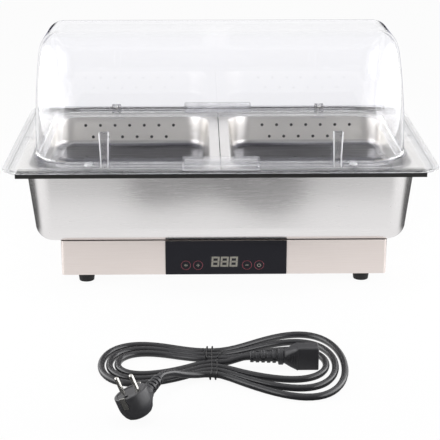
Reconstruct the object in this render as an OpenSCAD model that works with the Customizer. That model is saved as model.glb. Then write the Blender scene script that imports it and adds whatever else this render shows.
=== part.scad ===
// Electric buffet warmer: a heated base carries a water pan with two perforated food pans,
// under a clear frame with a hinged clear hood. A mains lead with an appliance connector lies beside it.
// X runs left to right, -Y is the front, Z is up.
// The origin lies on the table, under the middle of the warmer.

/* [Well and water pan] */
// Width of the pan rims, the size of one full tray
well_w = 530; // [510:1:550]
// Depth of the pan rims, front to back
well_d = 325; // [315:1:340]
// Corner radius of the pan rims
rim_r = 14; // [8:1:20]
// Width of the water pan's flat rim
rim_w = 10; // [8:0.5:12]
// Thickness of the steel sheet of all pans
pan_sheet = 0.8; // [0.6:0.1:1.2]
// Height of the water pan, floor to rim
water_depth = 102; // [94:1:112]
// How far each wall of the water pan leans in
water_lean = 9; // [5:0.5:11]
// Radius of the water pan's upright corners
water_corner_r = 34; // [26:1:40]
// Radius of the water pan's upright corners at its floor
water_low_r = 26; // [26:1:32]
// Radius between the water pan's walls and floor
water_floor_r = 22; // [15:1:26]

/* [Food pans] */
// Width of a food pan's flat rim
food_rim_w = 13.5; // [13:0.5:16]
// Gap between the two food pans
food_gap = 1; // [0.6:0.1:2]
// Height of a food pan, floor to rim
food_depth = 46; // [44:1:54]
// How far each wall of a food pan leans in
food_lean = 5; // [4:0.5:8]
// Radius of a food pan's upright corners
food_corner_r = 40; // [30:1:46]
// Radius of a food pan's upright corners at its floor
food_low_r = 30; // [24:1:36]
// Radius between a food pan's walls and floor
food_floor_r = 10; // [8:1:12]
// Diameter of the holes in the food pans
hole_d = 4.6; // [3:0.1:6]
// Distance between holes in a row
hole_pitch = 22; // [18:0.5:24]
// Number of holes in the upper row
hole_count = 7; // [3:1:7]
// Depth of the upper row below the rim
hole_drop = 15.5; // [14:0.5:18]
// Distance between the two rows
hole_row_step = 17.5; // [14:0.5:18]
// Distance between the holes of a row in the floor
floor_hole_pitch = 40; // [34:1:44]
// Distance of the floor's two rows of holes from its middle
floor_hole_y = 75; // [50:1:100]

/* [Base] */
// How far the base stands back from the water pan's floor at each side
base_inset_x = 28.5; // [22:0.5:60]
// How far the base stands back from the water pan's floor at front and back
base_inset_y = 15; // [8:1:30]
// How far the base stands to the right of the pans' middle
base_shift = 4.5; // [0:0.5:6]
// Height of the base housing
base_h = 48; // [44:1:60]
// Corner radius of the base housing
base_r = 4; // [2:0.5:8]
// Thickness of the base's steel sheet
base_sheet = 1; // [0.8:0.1:1.5]
// Width of the flange that the bottom plate is screwed to
return_w = 11; // [9:0.5:14]
// Height of the rubber feet
foot_h = 11.5; // [8:0.5:16]
// Diameter of a foot where it meets the base
foot_top_d = 23; // [20:0.5:26]
// Diameter of a foot on the table
foot_bottom_d = 20; // [16:0.5:20]
// Distance from the base's side to the middle of a foot
foot_inset_x = 32; // [26:1:45]
// Distance from the base's front or back to the middle of a foot
foot_inset_y = 14.5; // [14.5:0.5:40]

/* [Control panel] */
// Width of the black panel
panel_w = 162; // [150:1:180]
// How far the panel lies to the right of the base's middle
panel_shift = 2.5; // [0:0.5:4]
// Thickness of the black panel
panel_t = 2; // [1.5:0.1:3]
// How far the panel overlaps the front wall round its window
panel_lap = 8; // [5:0.5:10]
// Distance between the panel and the circuit board behind it
board_stand = 9; // [8:0.5:14]
// Thickness of the circuit board
board_t = 1.6; // [1:0.1:2]
// Width of the three-digit display
display_w = 36; // [30:1:40]
// Height of the display
display_h = 15; // [12:1:18]
// How far the display lies to the left of the panel's middle
display_shift = 2; // [0:0.5:4]
// How far the display lies below the panel's middle
display_drop = 5.5; // [3:0.5:7]
// Distance from the panel's middle to the inner touch key on the left
key_left_x = 37.5; // [35:0.5:40]
// Distance from the panel's middle to the inner touch key on the right
key_right_x = 28; // [26:0.5:34]
// Distance between two touch keys
key_step = 16.2; // [14:0.2:17]
// How far the touch keys lie below the panel's middle
key_drop = 10.5; // [7:0.5:11]
// Diameter of a touch key's contact spring
key_spring_d = 8; // [6:0.5:10]

/* [Power inlet] */
// Distance of the inlet to the right of the middle
inlet_x = 120; // [60:1:150]
// Width of the inlet's socket
socket_w = 24.6; // [24:0.1:26]
// Height of the inlet's socket
socket_h = 16.6; // [16:0.1:18]
// Depth of the inlet's socket
socket_deep = 17; // [15:0.5:19]
// Wall of the inlet round its socket
inlet_wall = 1.8; // [1.4:0.1:2.4]
// Distance between the inlet's two screws
inlet_screw_step = 40; // [38:0.5:44]

/* [Heater] */
// Width of the heating plate
plate_w = 300; // [240:1:340]
// Depth of the heating plate
plate_d = 170; // [140:1:180]
// Thickness of the heating plate
plate_t = 6; // [5:0.5:8]
// Width of the plate's lip under the deck
plate_lip = 8; // [5:0.5:12]
// Diameter of the tubular heating element
element_d = 6.6; // [6:0.1:8]
// Distance of the element's legs from the middle
element_half = 45; // [35:1:55]
// Length of the element's straight legs
element_leg = 200; // [160:1:210]
// Thickness of the insulation pad
pad_t = 10; // [6:0.5:14]

/* [Cover frame] */
// How far the frame stands out past the pan rims at each side
frame_over_x = 16; // [14:0.5:22]
// How far the frame stands out past the pan rims at front and back
frame_over_y = 17.5; // [15:0.5:22]
// Corner radius of the frame
frame_r = 26; // [20:1:30]
// Thickness of the frame plate
frame_t = 3; // [2.5:0.1:4]
// Width of the raised lip round the frame
lip_w = 8; // [6:0.5:9]
// Height of the lip above the plate
lip_h = 2.2; // [1.5:0.1:2.4]
// Thickness of the lip, which is hollow below
lip_t = 2.5; // [2:0.1:3]
// Width of the groove inside the lip
groove_w = 3; // [2:0.2:4]
// Depth of the groove
groove_depth = 1; // [0.5:0.1:1.4]
// Length of the groove's break at the middle of each short side
groove_break = 60; // [40:1:80]
// Height of the seal strips between the frame and the pans
seal_h = 1; // [1:0.5:3]
// Width of a seal strip where it lies on the pan rims
seal_w = 9; // [7:0.5:10]
// How far a seal strip stands back from the frame's front or back edge
seal_edge = 1; // [0.5:0.5:2]
// How far a seal strip reaches below the frame plate under the lip
seal_drop = 3; // [2:0.5:4]
// How far the ends of a seal strip stand back from the frame's sides
seal_end = 19; // [18:1:40]
// Distance of the front posts from the middle
post_x = 150; // [120:1:170]
// Height of the front posts
post_h = 47; // [30:1:50]
// Width of a front post at its top
post_top_w = 13; // [11:0.5:16]
// Width of a front post at its foot
post_foot_w = 10; // [8:0.5:11]
// Thickness of a front post
post_t = 8; // [6:0.5:10]

/* [Hood] */
// Distance from the frame's edge to the hood at each side
hood_margin_x = 37; // [34:0.5:44]
// Distance from the frame's edge to the hood at front and back
hood_margin_y = 40; // [38:0.5:46]
// Height of the hood above the frame plate
hood_h = 149; // [120:1:170]
// Wall of the hood
hood_wall = 2.5; // [2:0.1:3.5]
// How far each wall of the hood leans in towards the top
hood_lean = 4; // [2:0.5:8]
// Radius of the hood's upright corners
hood_corner_r = 48; // [40:1:52]
// Radius of the hood's top edges
hood_edge_r = 50; // [40:1:54]
// Gap between the hood's foot and the frame plate
hood_lift = 3; // [2.8:0.1:4]
// Width of the hood's foot flange
hood_foot = 4; // [3:0.5:5]
// Width of the front handle and of the back bridge
handle_w = 100; // [80:1:120]
// Height of the front handle
handle_h = 9; // [7:0.5:12]
// Height of the back bridge above the frame plate
bridge_h = 10; // [8:0.5:10.5]
// Distance of the hood's two rests from the middle
rest_x = 172; // [165:1:184]
// Diameter of a hood rest
rest_d = 11; // [8:0.5:12]

/* [Hinge] */
// Distance of the hinges from the middle
hinge_x = 152; // [120:1:180]
// Distance of the hinge line behind the hood's wall
hinge_back = 10; // [9.5:0.1:11]
// Height of the hinge line above the frame plate
hinge_up = 7; // [6.8:0.1:8]
// Diameter of the hinge pins
pin_d = 4; // [3:0.1:5]
// Width of an ear of the hood
ear_w = 6; // [4:0.5:8]
// Radius of the ears and lugs round the pin
ear_r = 5.5; // [4.5:0.1:5.8]
// Thickness of a lug of the frame
lug_t = 3; // [2:0.5:4]

/* [Clearances] */
// Gap under each piece that lifts off
rest_gap = 0.3; // [0.2:0.05:0.5]
// Gap round pieces that are set into an opening
fit_gap = 0.5; // [0.3:0.1:0.8]
// Radial gap of fixed pins and screws
snug_gap = 0.02; // [0.01:0.01:0.04]
// Radial gap of the hinge pins in the hood's ears
running_gap = 0.05; // [0.03:0.01:0.09]

/* [Mains lead] */
// Diameter of the lead
cord_d = 8; // [7:0.1:8.4]
// Number of turns in the hank
hank_turns = 3; // [2:1:3]
// Length of the hank from its waist to its left end
hank_left = 134; // [128:1:145]
// Length of the hank from its waist to its right end
hank_right = 155; // [150:1:165]
// How far each turn's left end falls short of the one before
left_end_step = 9.5; // [9.3:0.1:11]
// How far each turn's right end falls short of the one before
right_end_step = 10.5; // [9.5:0.1:12]
// How much the left loops swell out from the waist
left_swell = 92; // [86:1:105]
// How much the right loops swell out from the waist
right_swell = 165; // [150:1:180]
// How much less each further left loop swells
left_swell_step = 11; // [9:0.5:14]
// How much less each further right loop swells
right_swell_step = 37; // [34:0.5:42]
// Step from one run to the next at the waist
waist_step = 10.2; // [9.8:0.1:11]
// Diameter of the tie's wire
tie_d = 1.4; // [1.2:0.1:1.8]

/* [Hidden] */
$fn = 48;
// Facets round the blended shells
shell_fn = 32;
// Overshoot of cuts
over = 1;

// Heights of the stack, from the table up
base_z = foot_h;
deck_z = base_z + base_h;
water_z = deck_z + rest_gap;
rim_z = water_z + water_depth;
food_z = rim_z + rest_gap + pan_sheet;
seal_z = food_z + rest_gap;
plate_z = seal_z + seal_h;
frame_z = plate_z + frame_t;
hood_z = frame_z + hood_lift;

// Plan sizes
water_w = well_w - 2 * rim_w;
water_d = well_d - 2 * rim_w;
food_w = well_w / 2 - food_gap / 2;
base_w = water_w - 2 * water_lean - 2 * base_inset_x;
base_d = water_d - 2 * water_lean - 2 * base_inset_y;
frame_w = well_w + 2 * frame_over_x;
frame_d = well_d + 2 * frame_over_y;
hood_w = frame_w - 2 * hood_margin_x;
hood_d = frame_d - 2 * hood_margin_y;
// The frame's opening lies this far inside the hood's outline
opening_inset = 10;
opening_r = hood_corner_r - opening_inset;

// Screws: shank, head and length
screw_d = 3;
screw_head_d = 5.6;
screw_head_t = 1.4;
screw_l = 7;
foot_screw_d = 4;
foot_screw_head_d = 8;
foot_screw_recess = 4;
foot_screw_sink = 2;
board_screw_d = 2.2;
boss_d = 6;
// Free run between a foot and the bottom plate's nearest screw
bottom_screw_gap = 24;

// Vent slots in the bottom plate
vent_pitch = 12;
vent_w = 5;
vent_l = 26;
vent_r = 2.4;
vent_y = 42;

// Window in the front wall and the circuit board behind it
window_w = panel_w - 2 * panel_lap;
window_h = base_h - 2 * panel_lap;
board_w = window_w - 2 * fit_gap;
board_h = window_h - 2 * fit_gap;
boss_x = board_w / 2 - boss_d;
boss_z = board_h / 2 - boss_d / 2 - fit_gap;
panel_mid_z = base_z + base_h / 2;
front_y = -base_d / 2;
back_y = base_d / 2;
key_z = panel_mid_z - key_drop;
display_z = panel_mid_z - display_drop;
key_places = [-key_left_x - key_step, -key_left_x, key_right_x, key_right_x + key_step];

// Parts on the circuit board: sizes, and places from the panel's middle
relay_size = [20, 16, 16];
relay_at = [-34, -8];
transformer_size = [26, 20, 22];
transformer_at = [-4, -10];
capacitor_d = 10;
capacitor_l = 16;
capacitor_x = 38;

// Power inlet
inlet_z = base_z + base_h / 2;
inlet_w = socket_w + 2 * inlet_wall;
inlet_h = socket_h + 2 * inlet_wall;
inlet_deep = socket_deep + 3;
inlet_flange_t = 2.5;
inlet_flange_w = inlet_screw_step + 10;
blade_w = 4;
blade_t = 2;
blade_step = 7;
blade_rise = 2;
blade_l = socket_deep - 1;

// Heater
plate_lip_t = 3;
plate_r = 14;
plate_under_z = deck_z - plate_t;
groove_gap = 0.1;
clamp_x = 70;
clamp_w = 12;
clamp_t = 1.5;
clamp_post = 9;
clamp_z = plate_under_z - element_d / 2 - groove_gap - clamp_t;
clamp_half = element_half + element_d / 2 + groove_gap + clamp_post;
clamp_screw_y = clamp_half - clamp_post / 2;
terminal_l = 14;
sensor_d = 6;
sensor_l = 12;
sensor_flange_d = 12;
sensor_flange_t = 2;
cutout_x = 36;
cutout_d = 16;
cutout_h = 10;
cutout_ear = [11, 32, 5];
cutout_ear_t = 1;
cutout_tab = [0.8, 6, 8];
cutout_tab_x = 3;
pad_shift = 12;

// Hinge line
hinge_y = hood_d / 2 + hinge_back;
hinge_z = frame_z + hinge_up;
ear_gap = 0.4;
lug_mid = ear_w / 2 + ear_gap + lug_t / 2;
pin_l = ear_w + 2 * ear_gap + 2 * lug_t;
pin_head_d = 6;
pin_head_t = 1;

// Places of the feet, left to right and front to back
foot_x = base_w / 2 - foot_inset_x;
foot_y = base_d / 2 - foot_inset_y;
foot_places = [[-foot_x, -foot_y], [foot_x, -foot_y], [-foot_x, foot_y], [foot_x, foot_y]];
bottom_screw_x = foot_x - foot_top_d / 2 - bottom_screw_gap;
bottom_screw_y = base_d / 2 - base_sheet - return_w / 2;
bottom_screw_places = [for (x = [-1:1]) for (y = [-1, 1])
    [x * bottom_screw_x, y * bottom_screw_y]];

// Hank of the lead: where its waist lies, how far the tie lifts it and how softly the loops leave the waist
hank_at = [-15, -398, 0];
tie_lift = 2.6;
lift_reach = 25;
waist_ease = 0.15;
rings_per_loop = 24;
loops = 2 * hank_turns;
cord_sides = 6;

// Colours
steel = [0.78, 0.78, 0.77];
warm_steel = [0.84, 0.81, 0.78];
clear = [0.86, 0.88, 0.92, 0.4];
black = [0.09, 0.09, 0.1];
rubber = [0.13, 0.13, 0.14];

// Rectangle with round corners, from squares and circles
module round_rect(w, d, r) {
    square([w - 2 * r, d], center = true);
    square([w, d - 2 * r], center = true);
    for (x = [-1, 1], y = [-1, 1])
        translate([x * (w / 2 - r), y * (d / 2 - r)]) circle(r);
}

// Flat ring between two round rectangles
module round_ring(w, d, r, width) {
    difference() {
        round_rect(w, d, r);
        round_rect(w - 2 * width, d - 2 * width, max(r - width, 1));
    }
}

// Blended body of a pressed pan, hanging down from z = 0: round upright corners and a round floor edge
module pan_form(w, d, depth, lean, corner_r, low_r, floor_r, above = 0) {
    hull() {
        for (x = [-1, 1], y = [-1, 1]) {
            translate([x * (w / 2 - corner_r), y * (d / 2 - corner_r), -1])
                cylinder(r = corner_r, h = 1 + above, $fn = shell_fn);
            translate([x * (w / 2 - lean - low_r), y * (d / 2 - lean - low_r), floor_r - depth])
                rotate_extrude($fn = shell_fn) intersection() {
                    translate([low_r - floor_r, 0]) circle(floor_r, $fn = shell_fn);
                    translate([0, -floor_r]) square([low_r, 2 * floor_r]);
                }
        }
    }
}

// Pressed pan with a flat rim, its rim's top at z = 0
module pressed_pan(rim_size_w, rim_size_d, rim, depth, lean, corner_r, low_r, floor_r) {
    w = rim_size_w - 2 * rim;
    d = rim_size_d - 2 * rim;
    difference() {
        union() {
            translate([0, 0, -pan_sheet]) linear_extrude(pan_sheet) round_rect(rim_size_w, rim_size_d, rim_r);
            pan_form(w, d, depth, lean, corner_r, low_r, floor_r);
        }
        pan_form(w - 2 * pan_sheet, d - 2 * pan_sheet, depth - pan_sheet, lean, corner_r - pan_sheet,
            low_r - pan_sheet, floor_r - pan_sheet, over);
    }
}

// Screw with a pan head, its shank up from z = 0 and its head below
module screw(d, head_d, head_t, l) {
    cylinder(d = d, h = l);
    translate([0, 0, -head_t]) cylinder(d = head_d, h = head_t);
}

module base_shell() {
    color(warm_steel) difference() {
        translate([0, 0, base_z]) difference() {
            linear_extrude(base_h) round_rect(base_w, base_d, base_r);
            translate([0, 0, 2 * base_sheet + snug_gap])
                linear_extrude(base_h - 3 * base_sheet - snug_gap)
                    round_rect(base_w - 2 * base_sheet, base_d - 2 * base_sheet, base_r - base_sheet);
            translate([0, 0, -over]) linear_extrude(base_sheet + snug_gap + over)
                round_rect(base_w - 2 * base_sheet, base_d - 2 * base_sheet, base_r - base_sheet);
            translate([0, 0, -over]) linear_extrude(3 * base_sheet + over)
                round_rect(base_w - 2 * return_w, base_d - 2 * return_w, base_r);
        }
        // Deck opening for the heating plate
        translate([0, 0, deck_z - base_sheet - over]) linear_extrude(base_sheet + 2 * over)
            round_rect(plate_w + 2 * fit_gap, plate_d + 2 * fit_gap, plate_r + fit_gap);
        // Window behind the control panel
        translate([panel_shift, front_y, panel_mid_z])
            cube([window_w, 4 * base_sheet, window_h], center = true);
        // Cut-out and screw holes for the power inlet
        translate([inlet_x, back_y, inlet_z]) rotate([90, 0, 0]) {
            cube([inlet_w + 2 * fit_gap, inlet_h + 2 * fit_gap, 4 * base_sheet], center = true);
            for (x = [-1, 1]) translate([x * inlet_screw_step / 2, 0, 0])
                cylinder(r = screw_d / 2 + snug_gap, h = 4 * base_sheet, center = true);
        }
        for (p = bottom_screw_places) translate([p[0], p[1], base_z])
            cylinder(r = screw_d / 2 + snug_gap, h = 3 * base_sheet);
    }
}

module bottom_plate() {
    plate_gap = 0.2;
    color(steel) translate([0, 0, base_z]) difference() {
        linear_extrude(base_sheet)
            round_rect(base_w - 2 * base_sheet - 2 * plate_gap, base_d - 2 * base_sheet - 2 * plate_gap,
                base_r - base_sheet);
        for (p = bottom_screw_places) translate([p[0], p[1], -over])
            cylinder(r = screw_d / 2 + snug_gap, h = 3 * base_sheet);
        for (p = foot_places) translate([p[0], p[1], -over])
            cylinder(r = foot_screw_d / 2 + snug_gap, h = 3 * base_sheet);
        // Vent slots under the circuit board
        for (i = [-4:4]) translate([vent_pitch * i, front_y + vent_y, 0])
            linear_extrude(3 * over, center = true) round_rect(vent_w, vent_l, vent_r);
    }
}

module bottom_screws() {
    color(steel) for (p = bottom_screw_places) translate([p[0], p[1], base_z])
        screw(screw_d, screw_head_d, screw_head_t, screw_l);
}

module foot(i) {
    color(rubber) translate([foot_places[i][0], foot_places[i][1], 0]) difference() {
        cylinder(h = foot_h, d1 = foot_bottom_d, d2 = foot_top_d);
        translate([0, 0, -over]) cylinder(r = foot_screw_d / 2 + snug_gap, h = foot_h + 2 * over);
        translate([0, 0, -over]) cylinder(r = foot_screw_head_d / 2 + fit_gap, h = foot_screw_recess + over);
    }
}

module foot_screws() {
    color(steel) for (p = foot_places) translate([p[0], p[1], foot_screw_recess])
        screw(foot_screw_d, foot_screw_head_d, foot_screw_sink, foot_h - foot_screw_recess + base_sheet + 5);
}

module control_panel() {
    color(black) translate([0, front_y, panel_mid_z]) rotate([90, 0, 0]) {
        linear_extrude(panel_t) round_rect(panel_w, base_h - base_sheet, 1);
        // Bosses for the circuit board
        for (x = [-1, 1], z = [-1, 1]) translate([x * boss_x, z * boss_z, -board_stand]) difference() {
            cylinder(d = boss_d, h = board_stand);
            translate([0, 0, -over]) cylinder(r = board_screw_d / 2 + snug_gap, h = board_stand);
        }
    }
}

module display_module() {
    color([0.2, 0.2, 0.19]) translate([-display_shift, front_y + board_stand / 2, display_z])
        cube([display_w, board_stand, display_h], center = true);
}

module control_board() {
    color([0.1, 0.35, 0.2]) translate([0, front_y + board_stand, panel_mid_z]) rotate([-90, 0, 0])
        difference() {
            linear_extrude(board_t) square([board_w, board_h], center = true);
            for (x = [-1, 1], z = [-1, 1]) translate([x * boss_x, z * boss_z, -over])
                cylinder(r = board_screw_d / 2 + snug_gap, h = board_t + 2 * over);
        }
}

module board_screws() {
    color(steel) for (x = [-1, 1], z = [-1, 1])
        translate([x * boss_x, front_y + board_stand + board_t, panel_mid_z + z * boss_z]) rotate([90, 0, 0])
            screw(board_screw_d, 2 * board_screw_d, screw_head_t, board_t + 5);
}

module board_components() {
    back = front_y + board_stand + board_t;
    color([0.2, 0.3, 0.6]) {
        // Relay, transformer and capacitor
        translate([relay_at[0], back, panel_mid_z + relay_at[1]]) cube(relay_size);
        translate([transformer_at[0], back, panel_mid_z + transformer_at[1]]) cube(transformer_size);
        translate([capacitor_x, back, panel_mid_z]) rotate([-90, 0, 0])
            cylinder(d = capacitor_d, h = capacitor_l);
    }
}

module touch_springs() {
    color(steel) for (x = key_places) translate([x, front_y, key_z]) rotate([-90, 0, 0]) difference() {
        cylinder(d = key_spring_d, h = board_stand);
        translate([0, 0, -over]) cylinder(d = key_spring_d - 2, h = board_stand - over);
    }
}

module power_inlet() {
    color(black) translate([inlet_x, back_y, inlet_z]) rotate([-90, 0, 0]) difference() {
        union() {
            linear_extrude(inlet_flange_t) round_rect(inlet_flange_w, inlet_h + 3, 4);
            translate([0, 0, -inlet_deep]) linear_extrude(inlet_deep + inlet_flange_t)
                square([inlet_w, inlet_h], center = true);
        }
        // Socket with its two cut corners
        translate([0, 0, inlet_flange_t - socket_deep]) linear_extrude(socket_deep + over)
            polygon([[-socket_w / 2, -socket_h / 2 + 4], [-socket_w / 2 + 4, -socket_h / 2],
                [socket_w / 2 - 4, -socket_h / 2], [socket_w / 2, -socket_h / 2 + 4],
                [socket_w / 2, socket_h / 2], [-socket_w / 2, socket_h / 2]]);
        for (x = [-1, 1]) translate([x * inlet_screw_step / 2, 0, -over])
            cylinder(r = screw_d / 2 + snug_gap, h = inlet_flange_t + 2 * over);
    }
}

module inlet_blades() {
    color(steel) translate([inlet_x, back_y + inlet_flange_t - socket_deep, inlet_z])
        for (p = [[-blade_step, -blade_rise], [0, blade_rise], [blade_step, -blade_rise]])
            translate([p[0] - blade_t / 2, 0, p[1] - blade_w / 2]) cube([blade_t, blade_l, blade_w]);
}

module inlet_screws() {
    color(steel) for (x = [-1, 1])
        translate([inlet_x + x * inlet_screw_step / 2, back_y + inlet_flange_t, inlet_z]) rotate([90, 0, 0])
            screw(screw_d, screw_head_d, screw_head_t, screw_l);
}

// U-shaped path of the element as a solid of radius r, its axis in z = 0
module element_form(r) {
    for (y = [-1, 1]) translate([-element_leg / 2, y * element_half, 0]) rotate([0, 90, 0])
        cylinder(r = r, h = element_leg);
    translate([element_leg / 2, 0, 0]) rotate([0, 0, -90])
        rotate_extrude(angle = 180) translate([element_half, 0]) circle(r);
}

module heating_plate() {
    color([0.7, 0.71, 0.73]) difference() {
        union() {
            translate([0, 0, plate_under_z]) linear_extrude(plate_t) round_rect(plate_w, plate_d, plate_r);
            translate([0, 0, deck_z - base_sheet - plate_lip_t]) linear_extrude(plate_lip_t)
                round_rect(plate_w + 2 * plate_lip, plate_d + 2 * plate_lip, plate_r + plate_lip);
        }
        translate([0, 0, plate_under_z]) element_form(element_d / 2 + groove_gap);
        for (y = [-1, 1]) translate([-element_leg / 2 - terminal_l, y * element_half, plate_under_z])
            rotate([0, 90, 0]) cylinder(d = element_d, h = terminal_l + over);
        for (x = [-clamp_x, clamp_x], y = [-1, 1])
            translate([x, y * clamp_screw_y, plate_under_z - over])
                cylinder(r = screw_d / 2 + snug_gap, h = 4 + over);
    }
}

module heating_element() {
    color([0.35, 0.35, 0.36]) translate([0, 0, plate_under_z]) {
        element_form(element_d / 2);
        for (y = [-1, 1]) translate([-element_leg / 2 - terminal_l, y * element_half, 0]) rotate([0, 90, 0])
            cylinder(d = element_d / 2, h = terminal_l + over);
    }
}

module element_clamps() {
    color(steel) for (x = [-clamp_x, clamp_x]) difference() {
        union() {
            translate([x - clamp_w / 2, -clamp_half, clamp_z]) cube([clamp_w, 2 * clamp_half, clamp_t]);
            for (y = [-1, 1]) translate([x, y * clamp_screw_y, (clamp_z + plate_under_z) / 2])
                cube([clamp_w, clamp_post, plate_under_z - clamp_z], center = true);
        }
        for (y = [-1, 1]) translate([x, y * clamp_screw_y, clamp_z - over])
            cylinder(r = screw_d / 2 + snug_gap, h = plate_under_z - clamp_z + 2 * over);
    }
}

module clamp_screws() {
    color(steel) for (x = [-clamp_x, clamp_x], y = [-1, 1])
        translate([x, y * clamp_screw_y, clamp_z])
            screw(screw_d, screw_head_d, screw_head_t, plate_under_z - clamp_z + 3);
}

module thermal_sensor() {
    color([0.75, 0.6, 0.35]) translate([0, 0, plate_under_z - sensor_l]) {
        cylinder(d = sensor_d, h = sensor_l);
        translate([0, 0, sensor_l - sensor_flange_t]) cylinder(d = sensor_flange_d, h = sensor_flange_t);
    }
}

module thermal_cutout() {
    color([0.85, 0.84, 0.8]) translate([cutout_x, 0, plate_under_z]) {
        translate([0, 0, -cutout_h]) cylinder(d = cutout_d, h = cutout_h);
        translate([0, 0, -cutout_ear_t]) linear_extrude(cutout_ear_t)
            round_rect(cutout_ear[0], cutout_ear[1], cutout_ear[2]);
        for (x = [-cutout_tab_x, cutout_tab_x]) translate([x, 0, -cutout_h - cutout_tab[2] / 2])
            cube(cutout_tab, center = true);
    }
}

module insulation_pad() {
    color([0.93, 0.92, 0.88]) translate([0, pad_shift, base_z + base_sheet]) linear_extrude(pad_t)
        round_rect(plate_w, plate_d, plate_r);
}

module water_pan() {
    color(steel) translate([0, 0, rim_z])
        pressed_pan(well_w, well_d, rim_w, water_depth, water_lean, water_corner_r, water_low_r,
            water_floor_r);
}

// Rows of holes through the front and back walls: the lower row has one hole fewer and is staggered
module wall_holes() {
    for (row = [0, 1], i = [0:hole_count - 1 - row])
        translate([(i - (hole_count - 1 - row) / 2) * hole_pitch, 0, -hole_drop - row * hole_row_step])
            rotate([90, 0, 0]) cylinder(d = hole_d, h = well_d, center = true, $fn = 16);
}

// Two rows of holes through the floor
module floor_holes() {
    for (i = [-1.5:1:1.5], y = [-1, 1])
        translate([i * floor_hole_pitch, y * floor_hole_y, -food_depth - over])
            cylinder(d = hole_d, h = pan_sheet + 2 * over, $fn = 16);
}

module food_pan(side) {
    color(steel) translate([side * (food_gap / 2 + food_w / 2), 0, food_z]) difference() {
        pressed_pan(food_w, well_d, food_rim_w, food_depth, food_lean, food_corner_r, food_low_r,
            food_floor_r);
        wall_holes();
        floor_holes();
    }
}

module food_pan_left() {
    food_pan(-1);
}

module food_pan_right() {
    food_pan(1);
}

// Hollow box raised on a plate or a wall, open below
module raised_box(w, d, h, wall) {
    corner_r = 5;
    difference() {
        linear_extrude(h) round_rect(w, d, corner_r);
        translate([0, 0, -over]) linear_extrude(h - wall + over)
            round_rect(w - 2 * wall, d - 2 * wall, corner_r - wall / 2);
    }
}

module cover_frame() {
    bridge_d = frame_d / 2 - lip_w - hinge_y + ear_r;
    bridge_y = frame_d / 2 - lip_w - bridge_d / 2;
    post_gap = 3;
    post_y = -hood_d / 2 - hood_foot - post_gap - post_t / 2;
    cross_rib_l = 18;
    cross_rib_t = 4;
    cross_rib_overlap = 1;
    cross_rib_x = frame_w / 2 - lip_w + cross_rib_overlap - cross_rib_l / 2;
    locator_w = 22;
    locator_t = 3;
    locator_drop = 2;
    locator_inset = 2;
    locator_y = hood_d / 2 - opening_inset + locator_inset;
    color(clear) difference() {
        union() {
            translate([0, 0, plate_z]) linear_extrude(frame_t) difference() {
                round_rect(frame_w, frame_d, frame_r);
                round_rect(hood_w - 2 * opening_inset, hood_d - 2 * opening_inset, opening_r);
            }
            // Raised lip, and a cross-rib beside it at the middle of each short side
            translate([0, 0, frame_z]) linear_extrude(lip_h) round_ring(frame_w, frame_d, frame_r, lip_w);
            for (x = [-1, 1]) translate([x * cross_rib_x, 0, frame_z])
                linear_extrude(lip_h) square([cross_rib_l, cross_rib_t], center = true);
            // Front posts, wider at the top
            for (x = [-1, 1]) translate([x * post_x, post_y + post_t / 2, frame_z]) rotate([90, 0, 0])
                linear_extrude(post_t) polygon([[-post_foot_w / 2, 0], [post_foot_w / 2, 0],
                    [post_top_w / 2, post_h], [-post_top_w / 2, post_h]]);
            // Lugs on both sides of each hood ear
            for (x = [-hinge_x, hinge_x], s = [-1, 1])
                translate([x + s * lug_mid - lug_t / 2, hinge_y, frame_z]) rotate([90, 0, 90])
                    linear_extrude(lug_t) {
                        translate([-ear_r, 0]) square([2 * ear_r, hinge_up]);
                        translate([0, hinge_up]) circle(ear_r);
                    }
            // Bridge that the open hood leans on
            translate([0, bridge_y, frame_z]) raised_box(handle_w, bridge_d, bridge_h, frame_t);
            // Lugs that drop inside the food pans and keep the frame in its place
            for (x = [-post_x, post_x], y = [-1, 1])
                translate([x, y * locator_y, plate_z - seal_h - locator_drop])
                    linear_extrude(seal_h + locator_drop) square([locator_w, locator_t], center = true);
        }
        // Hollow below the lip
        translate([0, 0, plate_z - over]) linear_extrude(frame_t + lip_h - lip_t + over)
            round_ring(frame_w + 2 * over, frame_d + 2 * over, frame_r + over, lip_w - lip_t + over);
        // Groove inside the lip, broken at the middle of each short side
        translate([0, 0, frame_z - groove_depth]) linear_extrude(groove_depth + over) difference() {
            round_ring(frame_w - 2 * lip_w, frame_d - 2 * lip_w, frame_r - lip_w, groove_w);
            square([frame_w, groove_break], center = true);
            square([handle_w, frame_d], center = true);
        }
        for (x = [-hinge_x, hinge_x]) translate([x, hinge_y, hinge_z]) rotate([0, 90, 0])
            cylinder(r = pin_d / 2 + snug_gap, h = 4 * pin_l, center = true);
    }
}

// Two strips: each fills the hollow under the lip and lies on the pan rims
module rim_seal() {
    edge_y = frame_d / 2 - seal_edge;
    lip_y = frame_d / 2 - lip_w + lip_t + fit_gap / 5;
    rim_y = well_d / 2 + fit_gap;
    low_z = plate_z - seal_drop;
    color(black) for (s = [0, 1]) mirror([0, s, 0]) rotate([90, 0, 90])
        linear_extrude(frame_w - 2 * seal_end, center = true)
            polygon([[edge_y, low_z], [edge_y, frame_z + lip_h - lip_t], [lip_y, frame_z + lip_h - lip_t],
                [lip_y, plate_z], [rim_y - seal_w, plate_z], [rim_y - seal_w, seal_z], [rim_y, seal_z],
                [rim_y, low_z]]);
}

module hinge_pins() {
    color(steel) for (s = [-1, 1]) translate([s * hinge_x, hinge_y, hinge_z]) rotate([0, s * 90, 0]) {
        translate([0, 0, -pin_l / 2]) cylinder(d = pin_d, h = pin_l);
        translate([0, 0, pin_l / 2]) cylinder(d = pin_head_d, h = pin_head_t);
    }
}

module hood_rests() {
    color(clear) for (x = [-rest_x, rest_x]) translate([x, -hood_d / 2, frame_z])
        cylinder(d1 = rest_d, d2 = rest_d - 2, h = hood_lift - rest_gap);
}

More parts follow.
